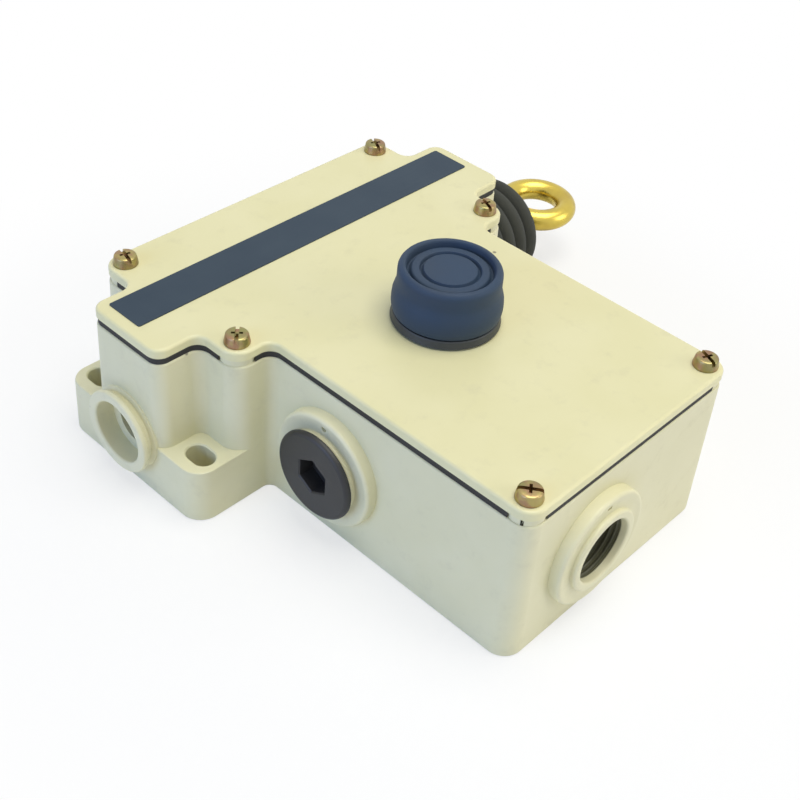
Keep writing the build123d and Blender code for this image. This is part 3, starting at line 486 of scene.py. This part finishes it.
slot_levels = [
    (-1, slot_below),
    (0, slot_below),
    (slot_below, 0),
    (lug_top - slot_above, 0),
    (lug_top, slot_above),
    (lug_top + 1, slot_above),
]
for x in (-slot_x, slot_x):
    for y in (-slot_y, slot_y):
        slot = slab("slot", lambda grow: slot_outline(grow, x, y), slot_levels)
        combine(casting, slot, "DIFFERENCE")
thread_outer = entry_bore + thread_depth
# The front entry's thread is painted dark: bare metal with the bore's shade painted in
shaded_bare_bores = [(1, front_entry, thread_outer, -box_front - thread_mouth, -box_front + wall - 0.5)]
body_paint = enamel("body_paint", (0.74, 0.71, 0.47, 1), (0.78, 0.75, 0.52, 1), 0.34, shaded_bare_bores)
finish_mesh(casting, body_paint)
casting.name = "casting"
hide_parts("housing")
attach(casting, "housing_body")

# Mechanism: a folded zinc plated frame, screwed to the casting's floor, with the rod's rear
# bush, the follower in its window and the latch on its pin. Its pressed, turned and moulded
# parts stay as the CAD has them and take these finishes at the end.
def metal(name, colour, roughness, scratches):
    """Bare or plated metal with handling marks along its length and uneven gloss."""
    finish = Finish(name, Metallic=1.0)
    point = finish.place()
    cloud = finish.noise(point, 60, 4)
    streaks = finish.noise(finish.place(scale=(1, 14, 14)), 260, 3)
    dark = tuple(part * 0.88 for part in colour[:3]) + (1,)
    finish.surface(
        Base_Color=finish.mix(cloud.above(0.3, 0.7), colour, dark),
        Roughness=roughness + cloud * 0.14 + streaks * scratches,
    )
    finish.bump(streaks * 0.5 + finish.noise(point, 1500, 2) * 0.5, 0.00001, 0.4)
    return finish.material


def moulded(name, colour, roughness, grain=700, specular=0.5):
    """Moulded plastic or rubber with a fine grain and slight clouding."""
    finish = Finish(name, Specular_IOR_Level=specular)
    point = finish.place()
    cloud = finish.noise(point, 70, 4)
    dull = tuple(part * 0.8 + 0.012 for part in colour[:3]) + (1,)
    skin_grain = finish.noise(point, grain, 3)
    finish.surface(
        Base_Color=finish.mix(cloud.above(0.35, 0.75), colour, dull),
        Roughness=roughness + cloud * 0.12,
    )
    finish.bump(skin_grain, 0.00003, 0.6)
    return finish.material


zinc_plate = metal("zinc_plate", (0.62, 0.64, 0.66, 1), 0.3, 0.12)
bright_steel = metal("bright_steel", (0.6, 0.6, 0.6, 1), 0.2, 0.15)
spring_steel = metal("spring_steel", (0.42, 0.43, 0.45, 1), 0.25, 0.1)
contact_brass = metal("contact_brass", (0.78, 0.6, 0.28, 1), 0.28, 0.1)
bush_brass = metal("bush_brass", (0.7, 0.52, 0.26, 1), 0.3, 0.18)
white_plastic = moulded("white_plastic", (0.72, 0.72, 0.68, 1), 0.35)
red_plastic = moulded("red_plastic", (0.5, 0.03, 0.02, 1), 0.35)
blue_plastic = moulded("blue_plastic", (0.03, 0.09, 0.28, 1), 0.35)
black_plastic = moulded("black_plastic", (0.016, 0.016, 0.017, 1), 0.42)
black_rubber = moulded("black_rubber", (0.052, 0.055, 0.05, 1), 0.75, 900, specular=0.3)

# Springs: the main and reset springs are wound of round steel wire with closed ends, and the
# latch spring is a bent leaf. Each one follows what it stands on and what it presses.
def coil(name, base, along, length, coil_radius, wire_radius, turns):
    """Wire wound from a base point along an axis, with three quarters of a turn closed at each end."""
    along = Vector(along)
    side = along.orthogonal().normalized()
    other = along.cross(side)
    closed = 0.75
    closed_pitch = wire_radius * 2.1
    free_turns = turns - 2 * closed
    free_pitch = (length - 2 * wire_radius - 2 * closed * closed_pitch) / free_turns
    steps = turns * 32
    centres = []
    for step in range(steps + 1):
        turn = step * turns / steps
        low_part = min(turn, closed) * closed_pitch
        high_part = max(turn - (turns - closed), 0) * closed_pitch
        free_part = min(max(turn - closed, 0), free_turns) * free_pitch
        angle = 2 * math.pi * turn
        out = side * math.cos(angle) + other * math.sin(angle)
        rise = along * (wire_radius + low_part + free_part + high_part)
        centres.append((Vector(base) + out * coil_radius + rise, out))
    rings = []
    for index, (centre, out) in enumerate(centres):
        ahead = centres[min(index + 1, steps)][0] - centres[max(index - 1, 0)][0]
        lift = ahead.normalized().cross(out)
        ring = [math.radians(30 * part) for part in range(12)]
        rings.append([centre + (out * math.cos(a) + lift * math.sin(a)) * wire_radius for a in ring])
    return skin(name, rings)


end_gap = 0.1
main_radius = 8.0
main_wire = 1.1
main_turns = 7
main_low, main_high = (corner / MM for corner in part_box("main_spring"))
main_length = main_high[0] - main_low[0] - 2 * end_gap
main_base = (main_low[0] + end_gap, 0, rope_z)
main_coil = coil("main_coil", main_base, (1, 0, 0), main_length, main_radius, main_wire, main_turns)
finish_mesh(main_coil, spring_steel, 60)
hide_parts("main_spring")
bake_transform(main_coil)

reset_radius = 7.3
reset_wire = 0.6
reset_turns = 5
reset_low, reset_high = (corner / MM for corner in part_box("reset_spring"))
reset_y = (reset_low[1] + reset_high[1]) / 2
reset_length = reset_high[2] - reset_low[2] - 2 * end_gap
reset_base = (0, reset_y, reset_low[2] + end_gap)
reset_coil = coil(
    "reset_coil", reset_base, (0, 0, 1), reset_length, reset_radius, reset_wire, reset_turns
)
finish_mesh(reset_coil, spring_steel, 60)
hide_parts("reset_spring")
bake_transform(reset_coil)

leaf_low, leaf_high = (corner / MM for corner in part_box("latch_spring"))
leaf_thick = 0.5
leaf_bend = 1.2
leaf_reach = leaf_high[1] - leaf_bend - leaf_low[1]
leaf_steps = 16
bend_steps = 8
foot_steps = 4
leaf_path = []
for step in range(leaf_steps + 1):
    along_leaf = leaf_low[1] + leaf_reach * step / leaf_steps
    leaf_path.append(((along_leaf, leaf_high[2] - leaf_thick / 2), 0))
for step in range(1, bend_steps):
    angle = math.radians(90 * step / bend_steps)
    reach = leaf_bend - leaf_thick / 2
    bend_centre = (leaf_high[1] - leaf_bend, leaf_high[2] - leaf_bend)
    bend_y = bend_centre[0] + reach * math.sin(angle)
    bend_z = bend_centre[1] + reach * math.cos(angle)
    leaf_path.append(((bend_y, bend_z), angle))
for step in range(foot_steps + 1):
    drop = leaf_bend + (leaf_high[2] - leaf_low[2] - leaf_bend) * step / foot_steps
    leaf_path.append(((leaf_high[1] - leaf_thick / 2, leaf_high[2] - drop), math.pi / 2))
leaf_rings = []
for (y, z), angle in leaf_path:
    across = Vector((0, math.sin(angle), math.cos(angle))) * leaf_thick / 2
    place = Vector((0, y, z))
    low_x, high_x = Vector((leaf_low[0], 0, 0)), Vector((leaf_high[0], 0, 0))
    under, over = place - across, place + across
    leaf_rings.append([under + low_x, under + high_x, over + high_x, over + low_x])
leaf = skin("latch_leaf", leaf_rings)
finish_mesh(leaf, spring_steel, 40)
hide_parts("latch_spring")
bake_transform(leaf)

# Gasket: a flat rubber cord laid along the rim and pressed by the lid, which shows as the
# dark line between the two. It stops short of the six pads.
gasket_rubber = moulded("gasket_rubber", (0.012, 0.012, 0.012, 1), 0.6)
cord_inset = 0.35
cord_width = 2.6
cord_gap = 0.45
gasket = slab("gasket", case_outline, [(rim_z + 0.02, -cord_inset), (pad_z - 0.02, -cord_inset)])
cord_inside = -cord_inset - cord_width
cord_hole = slab("cord_hole", case_outline, [(rim_z - 1, cord_inside), (pad_z + 1, cord_inside)])
combine(gasket, cord_hole, "DIFFERENCE")
for x, y in screw_places:
    pad_gap = cylinder("pad_gap", rim_z - 1, pad_z + 1, pad_radius + cord_gap, (x, y, 0))
    combine(gasket, pad_gap, "DIFFERENCE")
finish_mesh(gasket, gasket_rubber)
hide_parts("lid_gasket")
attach(gasket, "housing_body")

# Lid: a flat die casting in the housing's enamel, with a rounded edge. Its paint is set a
# little yellower than the housing's as painted light, for the warm light on its top. The hole
# of the reset bezel and the six screw holes are drilled through it.
lid_edge = 0.9
lid_top = lid_high[2] / MM
lid_under = pad_z
lid_levels = [(lid_under, -0.3), (lid_under + 0.3, 0.0)]
for along_edge, inwards in arc((lid_top - lid_edge, -lid_edge), lid_edge, 90, 0):
    lid_levels.append((along_edge, inwards))
cover = slab("cover", case_outline, lid_levels)
cap_low, cap_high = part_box("reset_cap")
button_place = (0.0, (cap_low[1] + cap_high[1]) / 2 / MM, lid_top)
screw_hole = 2.3
bezel_hole = 11.3
holes = [((x, y), screw_hole) for x, y in screw_places] + [(button_place[:2], bezel_hole)]
for (x, y), radius in holes:
    drill = cylinder("drill", lid_under - 1, lid_top + 1, radius, (x, y, 0), steps=48)
    combine(cover, drill, "DIFFERENCE")
# Painted light: the lid's tone is a little yellower than the body's, for the warm top light
lid_paint = enamel("lid_paint", (0.77, 0.73, 0.43, 1), (0.8, 0.76, 0.47, 1), 0.32)
finish_mesh(cover, lid_paint)
cover.name = "cover"
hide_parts("lid")
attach(cover, "housing_body")

# Label band: a thin aluminium plate stuck across the head, anodised dark blue and left bare.
# The solid of the CAD stays, and only its brushed finish is made here.
band_finish = Finish("band_blue", Specular_IOR_Level=0.2)
band_point = band_finish.place()
band_cloud = band_finish.noise(band_point, 45, 4)
band_brush = band_finish.noise(band_finish.place(scale=(1, 40, 40)), 90, 3)
band_finish.surface(
    Base_Color=band_finish.mix(
        band_cloud.above(0.3, 0.7), (0.03, 0.05, 0.076, 1), (0.038, 0.06, 0.086, 1)
    ),
    Roughness=0.36 + band_brush * 0.14,
)
band_finish.bump(band_brush, 0.00001, 0.4)

# Lid screws: six steel cheese heads, zinc plated and passivated yellow, with a slot and a cross
# in one recess, turned as each one happened to stop. One is modelled and set at six places.
screw_low, screw_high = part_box("lid_screws")
head_height = screw_high[2] / MM - lid_top
head_radius = 3.5
shank_radius = 2.0
shank_end = screw_low[2] / MM - lid_top
head_profile = [
    (shank_end, 0),
    (shank_end, shank_radius - 0.4),
    (shank_end + 0.4, shank_radius),
    (0.02, shank_radius),
    (0.02, head_radius - 0.1),
    (0.15, head_radius),
    (0.5, head_radius),
    (head_height - 0.7, head_radius - 0.35),
]
head_profile += arc((head_height - 0.7, head_radius - 0.95), 0.6, 80, 12, 5)[1:]
head_profile += [(head_height - 0.02, head_radius - 1.4), (head_height, 0)]
screw = turned("screw", head_profile, (0, 0, 0), (0, 0, 1), 48)


def bar(name, length, width, height, taper=1.0):
    """Rectangular block about the head's top, narrower at its lower end by taper."""
    rings = []
    for level, share in ((-height / 2, taper), (height / 2, 1.0)):
        x, y, z = length / 2 * share, width / 2 * share, head_height + level
        rings.append([(-x, -y, z), (x, -y, z), (x, y, z), (-x, y, z)])
    return skin(name, rings)


slot_wide = 1.05
slot_deep = 1.3
cross_long = 4.0
cross_wide = 1.0
cross_deep = 2.2
cross_taper = 0.55
combine(screw, bar("slot_tool", 12, slot_wide, 2 * slot_deep), "DIFFERENCE")
for length, width in ((cross_wide, cross_long), (cross_long, cross_wide)):
    combine(screw, bar("cross_tool", length, width, 2 * cross_deep, cross_taper), "DIFFERENCE")
yellow_zinc = Finish("yellow_zinc", Metallic=1.0)
zinc_point = yellow_zinc.place()
zinc_cloud = yellow_zinc.noise(zinc_point, 420, 4)
zinc_tint = yellow_zinc.mix(zinc_cloud.above(0.35, 0.6), (0.4, 0.33, 0.13, 1), (0.33, 0.2, 0.12, 1))
zinc_stain = yellow_zinc.noise(zinc_point, 190, 3).above(0.45, 0.65)
zinc_tint = yellow_zinc.mix(zinc_stain * 0.7, zinc_tint, (0.26, 0.27, 0.11, 1))
yellow_zinc.surface(Base_Color=zinc_tint, Roughness=0.24 + zinc_cloud * 0.2)
yellow_zinc.bump(yellow_zinc.noise(zinc_point, 1600, 2), 0.00002, 0.5)
finish_mesh(screw, yellow_zinc.material, 40)

group = bpy.data.node_groups.new("screw_pattern", "GeometryNodeTree")
group.interface.new_socket("Places", in_out="INPUT", socket_type="NodeSocketGeometry")
screw_input = group.interface.new_socket("Screw", in_out="INPUT", socket_type="NodeSocketObject")
seed_input = group.interface.new_socket("Seed", in_out="INPUT", socket_type="NodeSocketInt")
finish_input = group.interface.new_socket("Finish", in_out="INPUT", socket_type="NodeSocketMaterial")
group.interface.new_socket("Screws", in_out="OUTPUT", socket_type="NodeSocketGeometry")
entry = group.nodes.new("NodeGroupInput")
leave = group.nodes.new("NodeGroupOutput")
source = group.nodes.new("GeometryNodeObjectInfo")
instances = group.nodes.new("GeometryNodeInstanceOnPoints")
angle = group.nodes.new("FunctionNodeRandomValue")
angle.data_type = "FLOAT"
angle.inputs[2].default_value = 0.0
angle.inputs[3].default_value = 2 * math.pi
spin = group.nodes.new("ShaderNodeCombineXYZ")
real = group.nodes.new("GeometryNodeRealizeInstances")
dress = group.nodes.new("GeometryNodeSetMaterial")
for start, end in (
    (entry.outputs["Places"], instances.inputs["Points"]),
    (entry.outputs["Screw"], source.inputs["Object"]),
    (source.outputs["Geometry"], instances.inputs["Instance"]),
    (entry.outputs["Seed"], angle.inputs["Seed"]),
    (angle.outputs[1], spin.inputs["Z"]),
    (spin.outputs["Vector"], instances.inputs["Rotation"]),
    (instances.outputs["Instances"], real.inputs["Geometry"]),
    (real.outputs["Geometry"], dress.inputs["Geometry"]),
    (entry.outputs["Finish"], dress.inputs["Material"]),
    (dress.outputs["Geometry"], leave.inputs["Screws"]),
):
    group.links.new(start, end)
dots = bpy.data.meshes.new("screws")
dots.from_pydata([Vector((x, y, lid_top)) * MM for x, y in screw_places], [], [])
screws = bpy.data.objects.new("screws", dots)
bpy.context.scene.collection.objects.link(screws)
pattern = screws.modifiers.new("pattern", "NODES")
pattern.node_group = group
pattern[screw_input.identifier] = screw
pattern[seed_input.identifier] = 4
pattern[finish_input.identifier] = yellow_zinc.material
settle(screws)
bpy.data.objects.remove(screw)
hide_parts("lid_screws")
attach(screws, "housing_body")

# Blanking plug: a black moulding with a wide rounded flange and a hexagon socket, screwed
# against a thin washer on the side entry's ring
plug_low, plug_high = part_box("blanking_plug")
plug_out = -plug_low[0] / MM - box_half
plug_radius = 13.1
plug_round = 1.3
seal_out = -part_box("plug_seal")[0][0] / MM - box_half
plug_in = -plug_high[0] / MM - box_half
plug_thread = entry_bore - 0.05
plug_profile = [
    (plug_in, 0),
    (plug_in, plug_thread - 0.95),
    (plug_in + 1, plug_thread),
    (seal_out, plug_thread),
    (seal_out, plug_radius - 0.2),
    (seal_out + 0.2, plug_radius),
    (plug_out - plug_round, plug_radius),
]
plug_profile += arc((plug_out - plug_round, plug_radius - plug_round), plug_round, 90, 0, 6)[1:]
plug_profile += [(plug_out, 0)]
plug = turned("plug", plug_profile, side_entry, (-1, 0, 0), 120)
key_flats = 9.4
key_depth = 5.0
key_bevel = 0.4
key_rings = []
for depth, grow in (
    (plug_out - key_depth, 0.0),
    (plug_out - key_bevel, 0.0),
    (plug_out, key_bevel),
    (plug_out + 1, key_bevel),
):
    ring = []
    for corner in range(6):
        turn = math.radians(60 * corner + 30)
        reach = (key_flats / 2 + grow) / math.cos(math.radians(30))
        ring.append(Vector(side_entry) + Vector((-depth, reach * math.cos(turn), reach * math.sin(turn))))
    key_rings.append(ring)
combine(plug, skin("key", key_rings), "DIFFERENCE")
finish_mesh(plug, black_plastic)
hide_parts("blanking_plug")
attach(plug, "housing_body")

# Gaiter: moulded rubber bellows on the head's spigot and the rod's shoulder. In the switch it
# stretches with the rod; here it is one fixed shape, with its folds from the wall to the eye's nut.
gaiter_low, gaiter_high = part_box("gaiter")
gaiter_start = gaiter_low[0] / MM
gaiter_neck = 2.0
gaiter_end = gaiter_high[0] / MM - gaiter_neck
gaiter_radius = gaiter_high[1] / MM
gaiter_valley = 14.9
gaiter_folds = 4
gaiter_wall = 1.2
fold_roundness = 0.8
fold = (gaiter_end - gaiter_start) / gaiter_folds
folds_out = []
folds_in = []
fold_steps = 12
for step in range(gaiter_folds * fold_steps + 1):
    share = step / fold_steps
    swing = abs(math.sin(math.pi * share)) ** fold_roundness
    out = gaiter_valley + (gaiter_radius - gaiter_valley) * swing
    folds_out.append((gaiter_start + share * fold, out))
    if 1 <= step <= gaiter_folds * fold_steps - 1:
        folds_in.append((gaiter_start + share * fold, out - gaiter_wall))
cuff = 9.7
neck_out = 6.4
neck_in = 4.1
bellows_loop = [(gaiter_start, cuff)] + folds_out
neck_end = gaiter_end + gaiter_neck
inner_end = gaiter_end - gaiter_wall
inner_start = gaiter_start + gaiter_wall
bellows_loop += [(gaiter_end, neck_out), (neck_end - 0.5, neck_out), (neck_end, neck_out - 0.5)]
bellows_loop += [(neck_end, neck_in), (inner_end, neck_in), (inner_end, gaiter_valley - gaiter_wall)]
bellows_loop += [point for point in folds_in[::-1] if inner_start < point[0] < inner_end]
bellows_loop += [(inner_start, cuff)]
bellows = turned("bellows", bellows_loop, (0, 0, rope_z), (1, 0, 0), 128, hollow=True)
finish_mesh(bellows, black_rubber, 50)
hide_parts("gaiter")
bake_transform(bellows)

# Eye: a forged ring on a threaded shank, brass coloured, screwed into the rod's end and held
# there by its nut
eye_low, eye_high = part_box("eye_bolt")
eye_ring = 10.4
eye_wire = 3.65
eye_centre = eye_high[0] / MM - eye_ring - eye_wire
eye = bpy.data.objects.new("eye", bpy.data.meshes.new("eye"))
bpy.context.scene.collection.objects.link(eye)
ring_mesh = bmesh.new()
ring_rows = []
ring_steps = 120
wire_steps = 40
for step in range(ring_steps):
    turn = 2 * math.pi * step / ring_steps
    row = []
    for part in range(wire_steps):
        roll = 2 * math.pi * part / wire_steps
        reach = eye_ring + eye_wire * math.cos(roll)
        height = rope_z + eye_wire * math.sin(roll)
        place = Vector((eye_centre + reach * math.cos(turn), reach * math.sin(turn), height))
        row.append(ring_mesh.verts.new(place * MM))
    ring_rows.append(row)
for step in range(ring_steps):
    here, after = ring_rows[step], ring_rows[(step + 1) % ring_steps]
    for part in range(wire_steps):
        nearby = (part + 1) % wire_steps
        ring_mesh.faces.new((here[part], after[part], after[nearby], here[nearby]))
bmesh.ops.recalc_face_normals(ring_mesh, faces=ring_mesh.faces)
ring_mesh.to_mesh(eye.data)
ring_mesh.free()
shank_start = eye_low[0] / MM
ring_start = eye_centre - eye_ring - eye_wire
thread_radius = 3.0
shank_profile = [
    (shank_start, 0),
    (shank_start, thread_radius - 0.4),
    (shank_start + 0.4, thread_radius),
    (ring_start, thread_radius),
    (ring_start + 0.8, thread_radius + 0.2),
    (ring_start + 1.8, thread_radius + 0.2),
    (ring_start + eye_wire, 1.4),
    (ring_start + eye_wire, 0),
]
shank = turned("shank", shank_profile, (0, 0, rope_z), (1, 0, 0), 64)
combine(eye, shank, "UNION")
eye_brass = Finish("eye_brass", Metallic=1.0)
eye_point = eye_brass.place()
eye_cloud = eye_brass.noise(eye_point, 110, 4)
eye_brass.surface(
    Base_Color=eye_brass.mix(eye_cloud.above(0.35, 0.7), (0.64, 0.5, 0.1, 1), (0.5, 0.37, 0.08, 1)),
    Roughness=0.22 + eye_cloud * 0.16,
)
eye_brass.bump(eye_brass.noise(eye_point, 340, 3), 0.00004, 0.4)
finish_mesh(eye, eye_brass.material, 50)
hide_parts("eye_bolt")
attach(eye, "pull_rod_body")

# Reset button: a black bezel screwed through the lid on a thin seal, and a blue moulded boot
# over the cap. The boot's top has a raised rim, a groove and a flat middle. Its outlines are
# (height over the lid, radius) points.
bezel_plastic = moulded("bezel_plastic", (0.028, 0.034, 0.038, 1), 0.4)
boot_side = [
    (3.0, 14.3), (3.2, 14.5), (4.2, 14.85), (5.2, 15.0), (6.6, 15.0), (8.2, 14.85),
    (9.6, 14.45), (10.8, 14.1), (11.8, 13.98), (13.0, 13.95), (14.4, 13.95),
]
boot_rim = [
    (15.3, 13.9), (15.9, 13.7), (16.35, 13.35), (16.6, 12.95), (16.7, 12.55),
    (16.65, 12.2), (16.4, 11.9), (15.9, 11.7),
]
boot_groove = [
    (15.1, 11.55), (14.45, 11.35), (14.3, 11.05), (14.45, 10.75), (15.1, 10.55),
    (15.5, 10.2), (15.6, 9.9),
]
boot_middle = [
    (15.6, 8.7), (15.5, 8.3), (15.0, 8.05), (14.6, 7.9), (14.5, 7.7), (14.6, 7.5), (15.0, 7.3),
]
boot_middle += [(15.5, 7.05), (15.6, 6.75), (15.6, 0.0)]
boot_inner = [(13.7, 0.0), (13.7, 12.6), (12.9, 12.75), (6.0, 13.8), (3.0, 13.3)]
boot_loop = boot_side + boot_rim + boot_groove + boot_middle + boot_inner
boot = turned("boot", boot_loop, button_place, (0, 0, 1), 128, hollow=True)
boot_rubber = moulded("boot_rubber", (0.032, 0.058, 0.105, 1), 0.5, 1100, specular=0.25)
finish_mesh(boot, boot_rubber, 40)
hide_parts("reset_boot")
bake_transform(boot)

# Every CAD solid that stays, such as the bezel, the nuts and the whole mechanism, gets the
# same finishes by the name of its slot
finishes = {
    "body_paint": body_paint,
    "lid_paint": lid_paint,
    "gasket_rubber": gasket_rubber,
    "black_rubber": black_rubber,
    "boot_rubber": boot_rubber,
    "band_blue": band_finish.material,
    "black_plastic": black_plastic,
    "bezel_plastic": bezel_plastic,
    "white_plastic": white_plastic,
    "red_plastic": red_plastic,
    "blue_plastic": blue_plastic,
    "eye_brass": eye_brass.material,
    "bush_brass": bush_brass,
    "contact_brass": contact_brass,
    "yellow_zinc": yellow_zinc.material,
    "zinc_plate": zinc_plate,
    "bright_steel": bright_steel,
    "spring_steel": spring_steel,
}
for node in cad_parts.values():
    for slot in node.material_slots:
        slot.material = finishes[slot.material.name]

# Studio: a pale floor under soft lamps, cooler from the left and warmer from the front,
# as the photo's daylight and bounce are, with a white surround for the camera and for gloss
target = Vector((-33.883, -67.042, lid_high[2] / MM)) * MM
camera_turn = math.radians(-49.679)
camera_rise = math.radians(40.320)
camera_roll = math.radians(5.339)
camera_distance = 311.62 * MM
focal_pixels = 1264.60
picture_width = 800
back = Vector((
    math.sin(camera_turn) * math.cos(camera_rise),
    -math.cos(camera_turn) * math.cos(camera_rise),
    math.sin(camera_rise),
))
level = Vector((math.cos(camera_turn), math.sin(camera_turn), 0))
upright = back.cross(level)
across = level * math.cos(camera_roll) + upright * math.sin(camera_roll)
above = upright * math.cos(camera_roll) - level * math.sin(camera_roll)
lens = bpy.data.cameras.new("camera")
lens.sensor_width = 36
lens.lens = lens.sensor_width * focal_pixels / picture_width
lens.clip_start = 0.01
lens.clip_end = 20
camera = bpy.data.objects.new("camera", lens)
facing = Matrix((across, above, back)).transposed().to_4x4()
camera.matrix_world = Matrix.Translation(target + back * camera_distance) @ facing
bpy.context.scene.collection.objects.link(camera)
bpy.context.scene.camera = camera

lamp_aim = Vector((-0.01, -0.045, 0.03))


def lamp(name, place, size, power, colour):
    """Square soft lamp that points at the middle of the switch."""
    light = bpy.data.lights.new(name, "AREA")
    light.size = size
    light.energy = power
    light.color = colour
    held = bpy.data.objects.new(name, light)
    held.location = place
    ray = lamp_aim - Vector(place)
    held.rotation_euler = ray.to_track_quat("-Z", "Y").to_euler()
    bpy.context.scene.collection.objects.link(held)


lamp("top_lamp", (0.2, -0.3, 1.9), 1.4, 28, (1.0, 0.965, 0.85))
lamp("left_lamp", (-1.6, 0.2, 0.6), 0.9, 10.5, (0.3, 0.5, 1.0))
lamp("right_lamp", (0.9, -1.5, 0.7), 0.9, 7, (1.0, 0.97, 0.92))

world = bpy.data.worlds.new("surround")
bpy.context.scene.world = world
world.use_nodes = True
tree = world.node_tree
tree.nodes.clear()
path = tree.nodes.new("ShaderNodeLightPath")
seen = tree.nodes.new("ShaderNodeMath")
seen.operation = "MAXIMUM"
seen_more = tree.nodes.new("ShaderNodeMath")
seen_more.operation = "MAXIMUM"
tree.links.new(path.outputs["Is Camera Ray"], seen.inputs[0])
tree.links.new(path.outputs["Is Glossy Ray"], seen.inputs[1])
tree.links.new(seen.outputs[0], seen_more.inputs[0])
tree.links.new(path.outputs["Is Transmission Ray"], seen_more.inputs[1])
soft = tree.nodes.new("ShaderNodeBackground")
soft.inputs["Color"].default_value = (0.88, 0.93, 1.0, 1)
soft.inputs["Strength"].default_value = 0.27
plain = tree.nodes.new("ShaderNodeBackground")
plain.inputs["Color"].default_value = (1, 1, 1, 1)
plain.inputs["Strength"].default_value = 1.0
blend = tree.nodes.new("ShaderNodeMixShader")
out = tree.nodes.new("ShaderNodeOutputWorld")
tree.links.new(seen_more.outputs[0], blend.inputs[0])
tree.links.new(soft.outputs[0], blend.inputs[1])
tree.links.new(plain.outputs[0], blend.inputs[2])
tree.links.new(blend.outputs[0], out.inputs["Surface"])

floor_mesh = bpy.data.meshes.new("floor")
reach = 3.0
floor_corners = [(-reach, -reach, 0), (reach, -reach, 0), (reach, reach, 0), (-reach, reach, 0)]
floor_mesh.from_pydata(floor_corners, [], [(0, 1, 2, 3)])
floor = bpy.data.objects.new("floor", floor_mesh)
bpy.context.scene.collection.objects.link(floor)
floor_finish = Finish("floor_white", Roughness=0.6, Base_Color=(0.93, 0.935, 0.95, 1))
floor_point = floor_finish.place()
from_middle = {0: floor_point, 1: (0.0, -0.045, 0.0)}
away = floor_finish.node("ShaderNodeVectorMath", {"operation": "DISTANCE"}, from_middle, "Value")
camera_ray = floor_finish.node("ShaderNodeLightPath", {}, {}, "Is Camera Ray")
glow = floor_finish.node("ShaderNodeEmission", {}, {"Color": (1, 1, 1, 1), "Strength": 1.0})
near_white = 0.62
whiteness = near_white + away.above(0.1, 0.19) * (1 - near_white)
whiter = floor_finish.node("ShaderNodeMixShader", {}, {0: camera_ray * whiteness})
floor_tree = floor_finish.tree
floor_tree.links.new(floor_finish.shader.outputs[0], whiter.socket.node.inputs[1])
floor_tree.links.new(glow.socket, whiter.socket.node.inputs[2])
floor_tree.links.new(whiter.socket, floor_tree.nodes["Material Output"].inputs["Surface"])
floor_mesh.materials.append(floor_finish.material)

bpy.context.scene.view_settings.view_transform = "Standard"
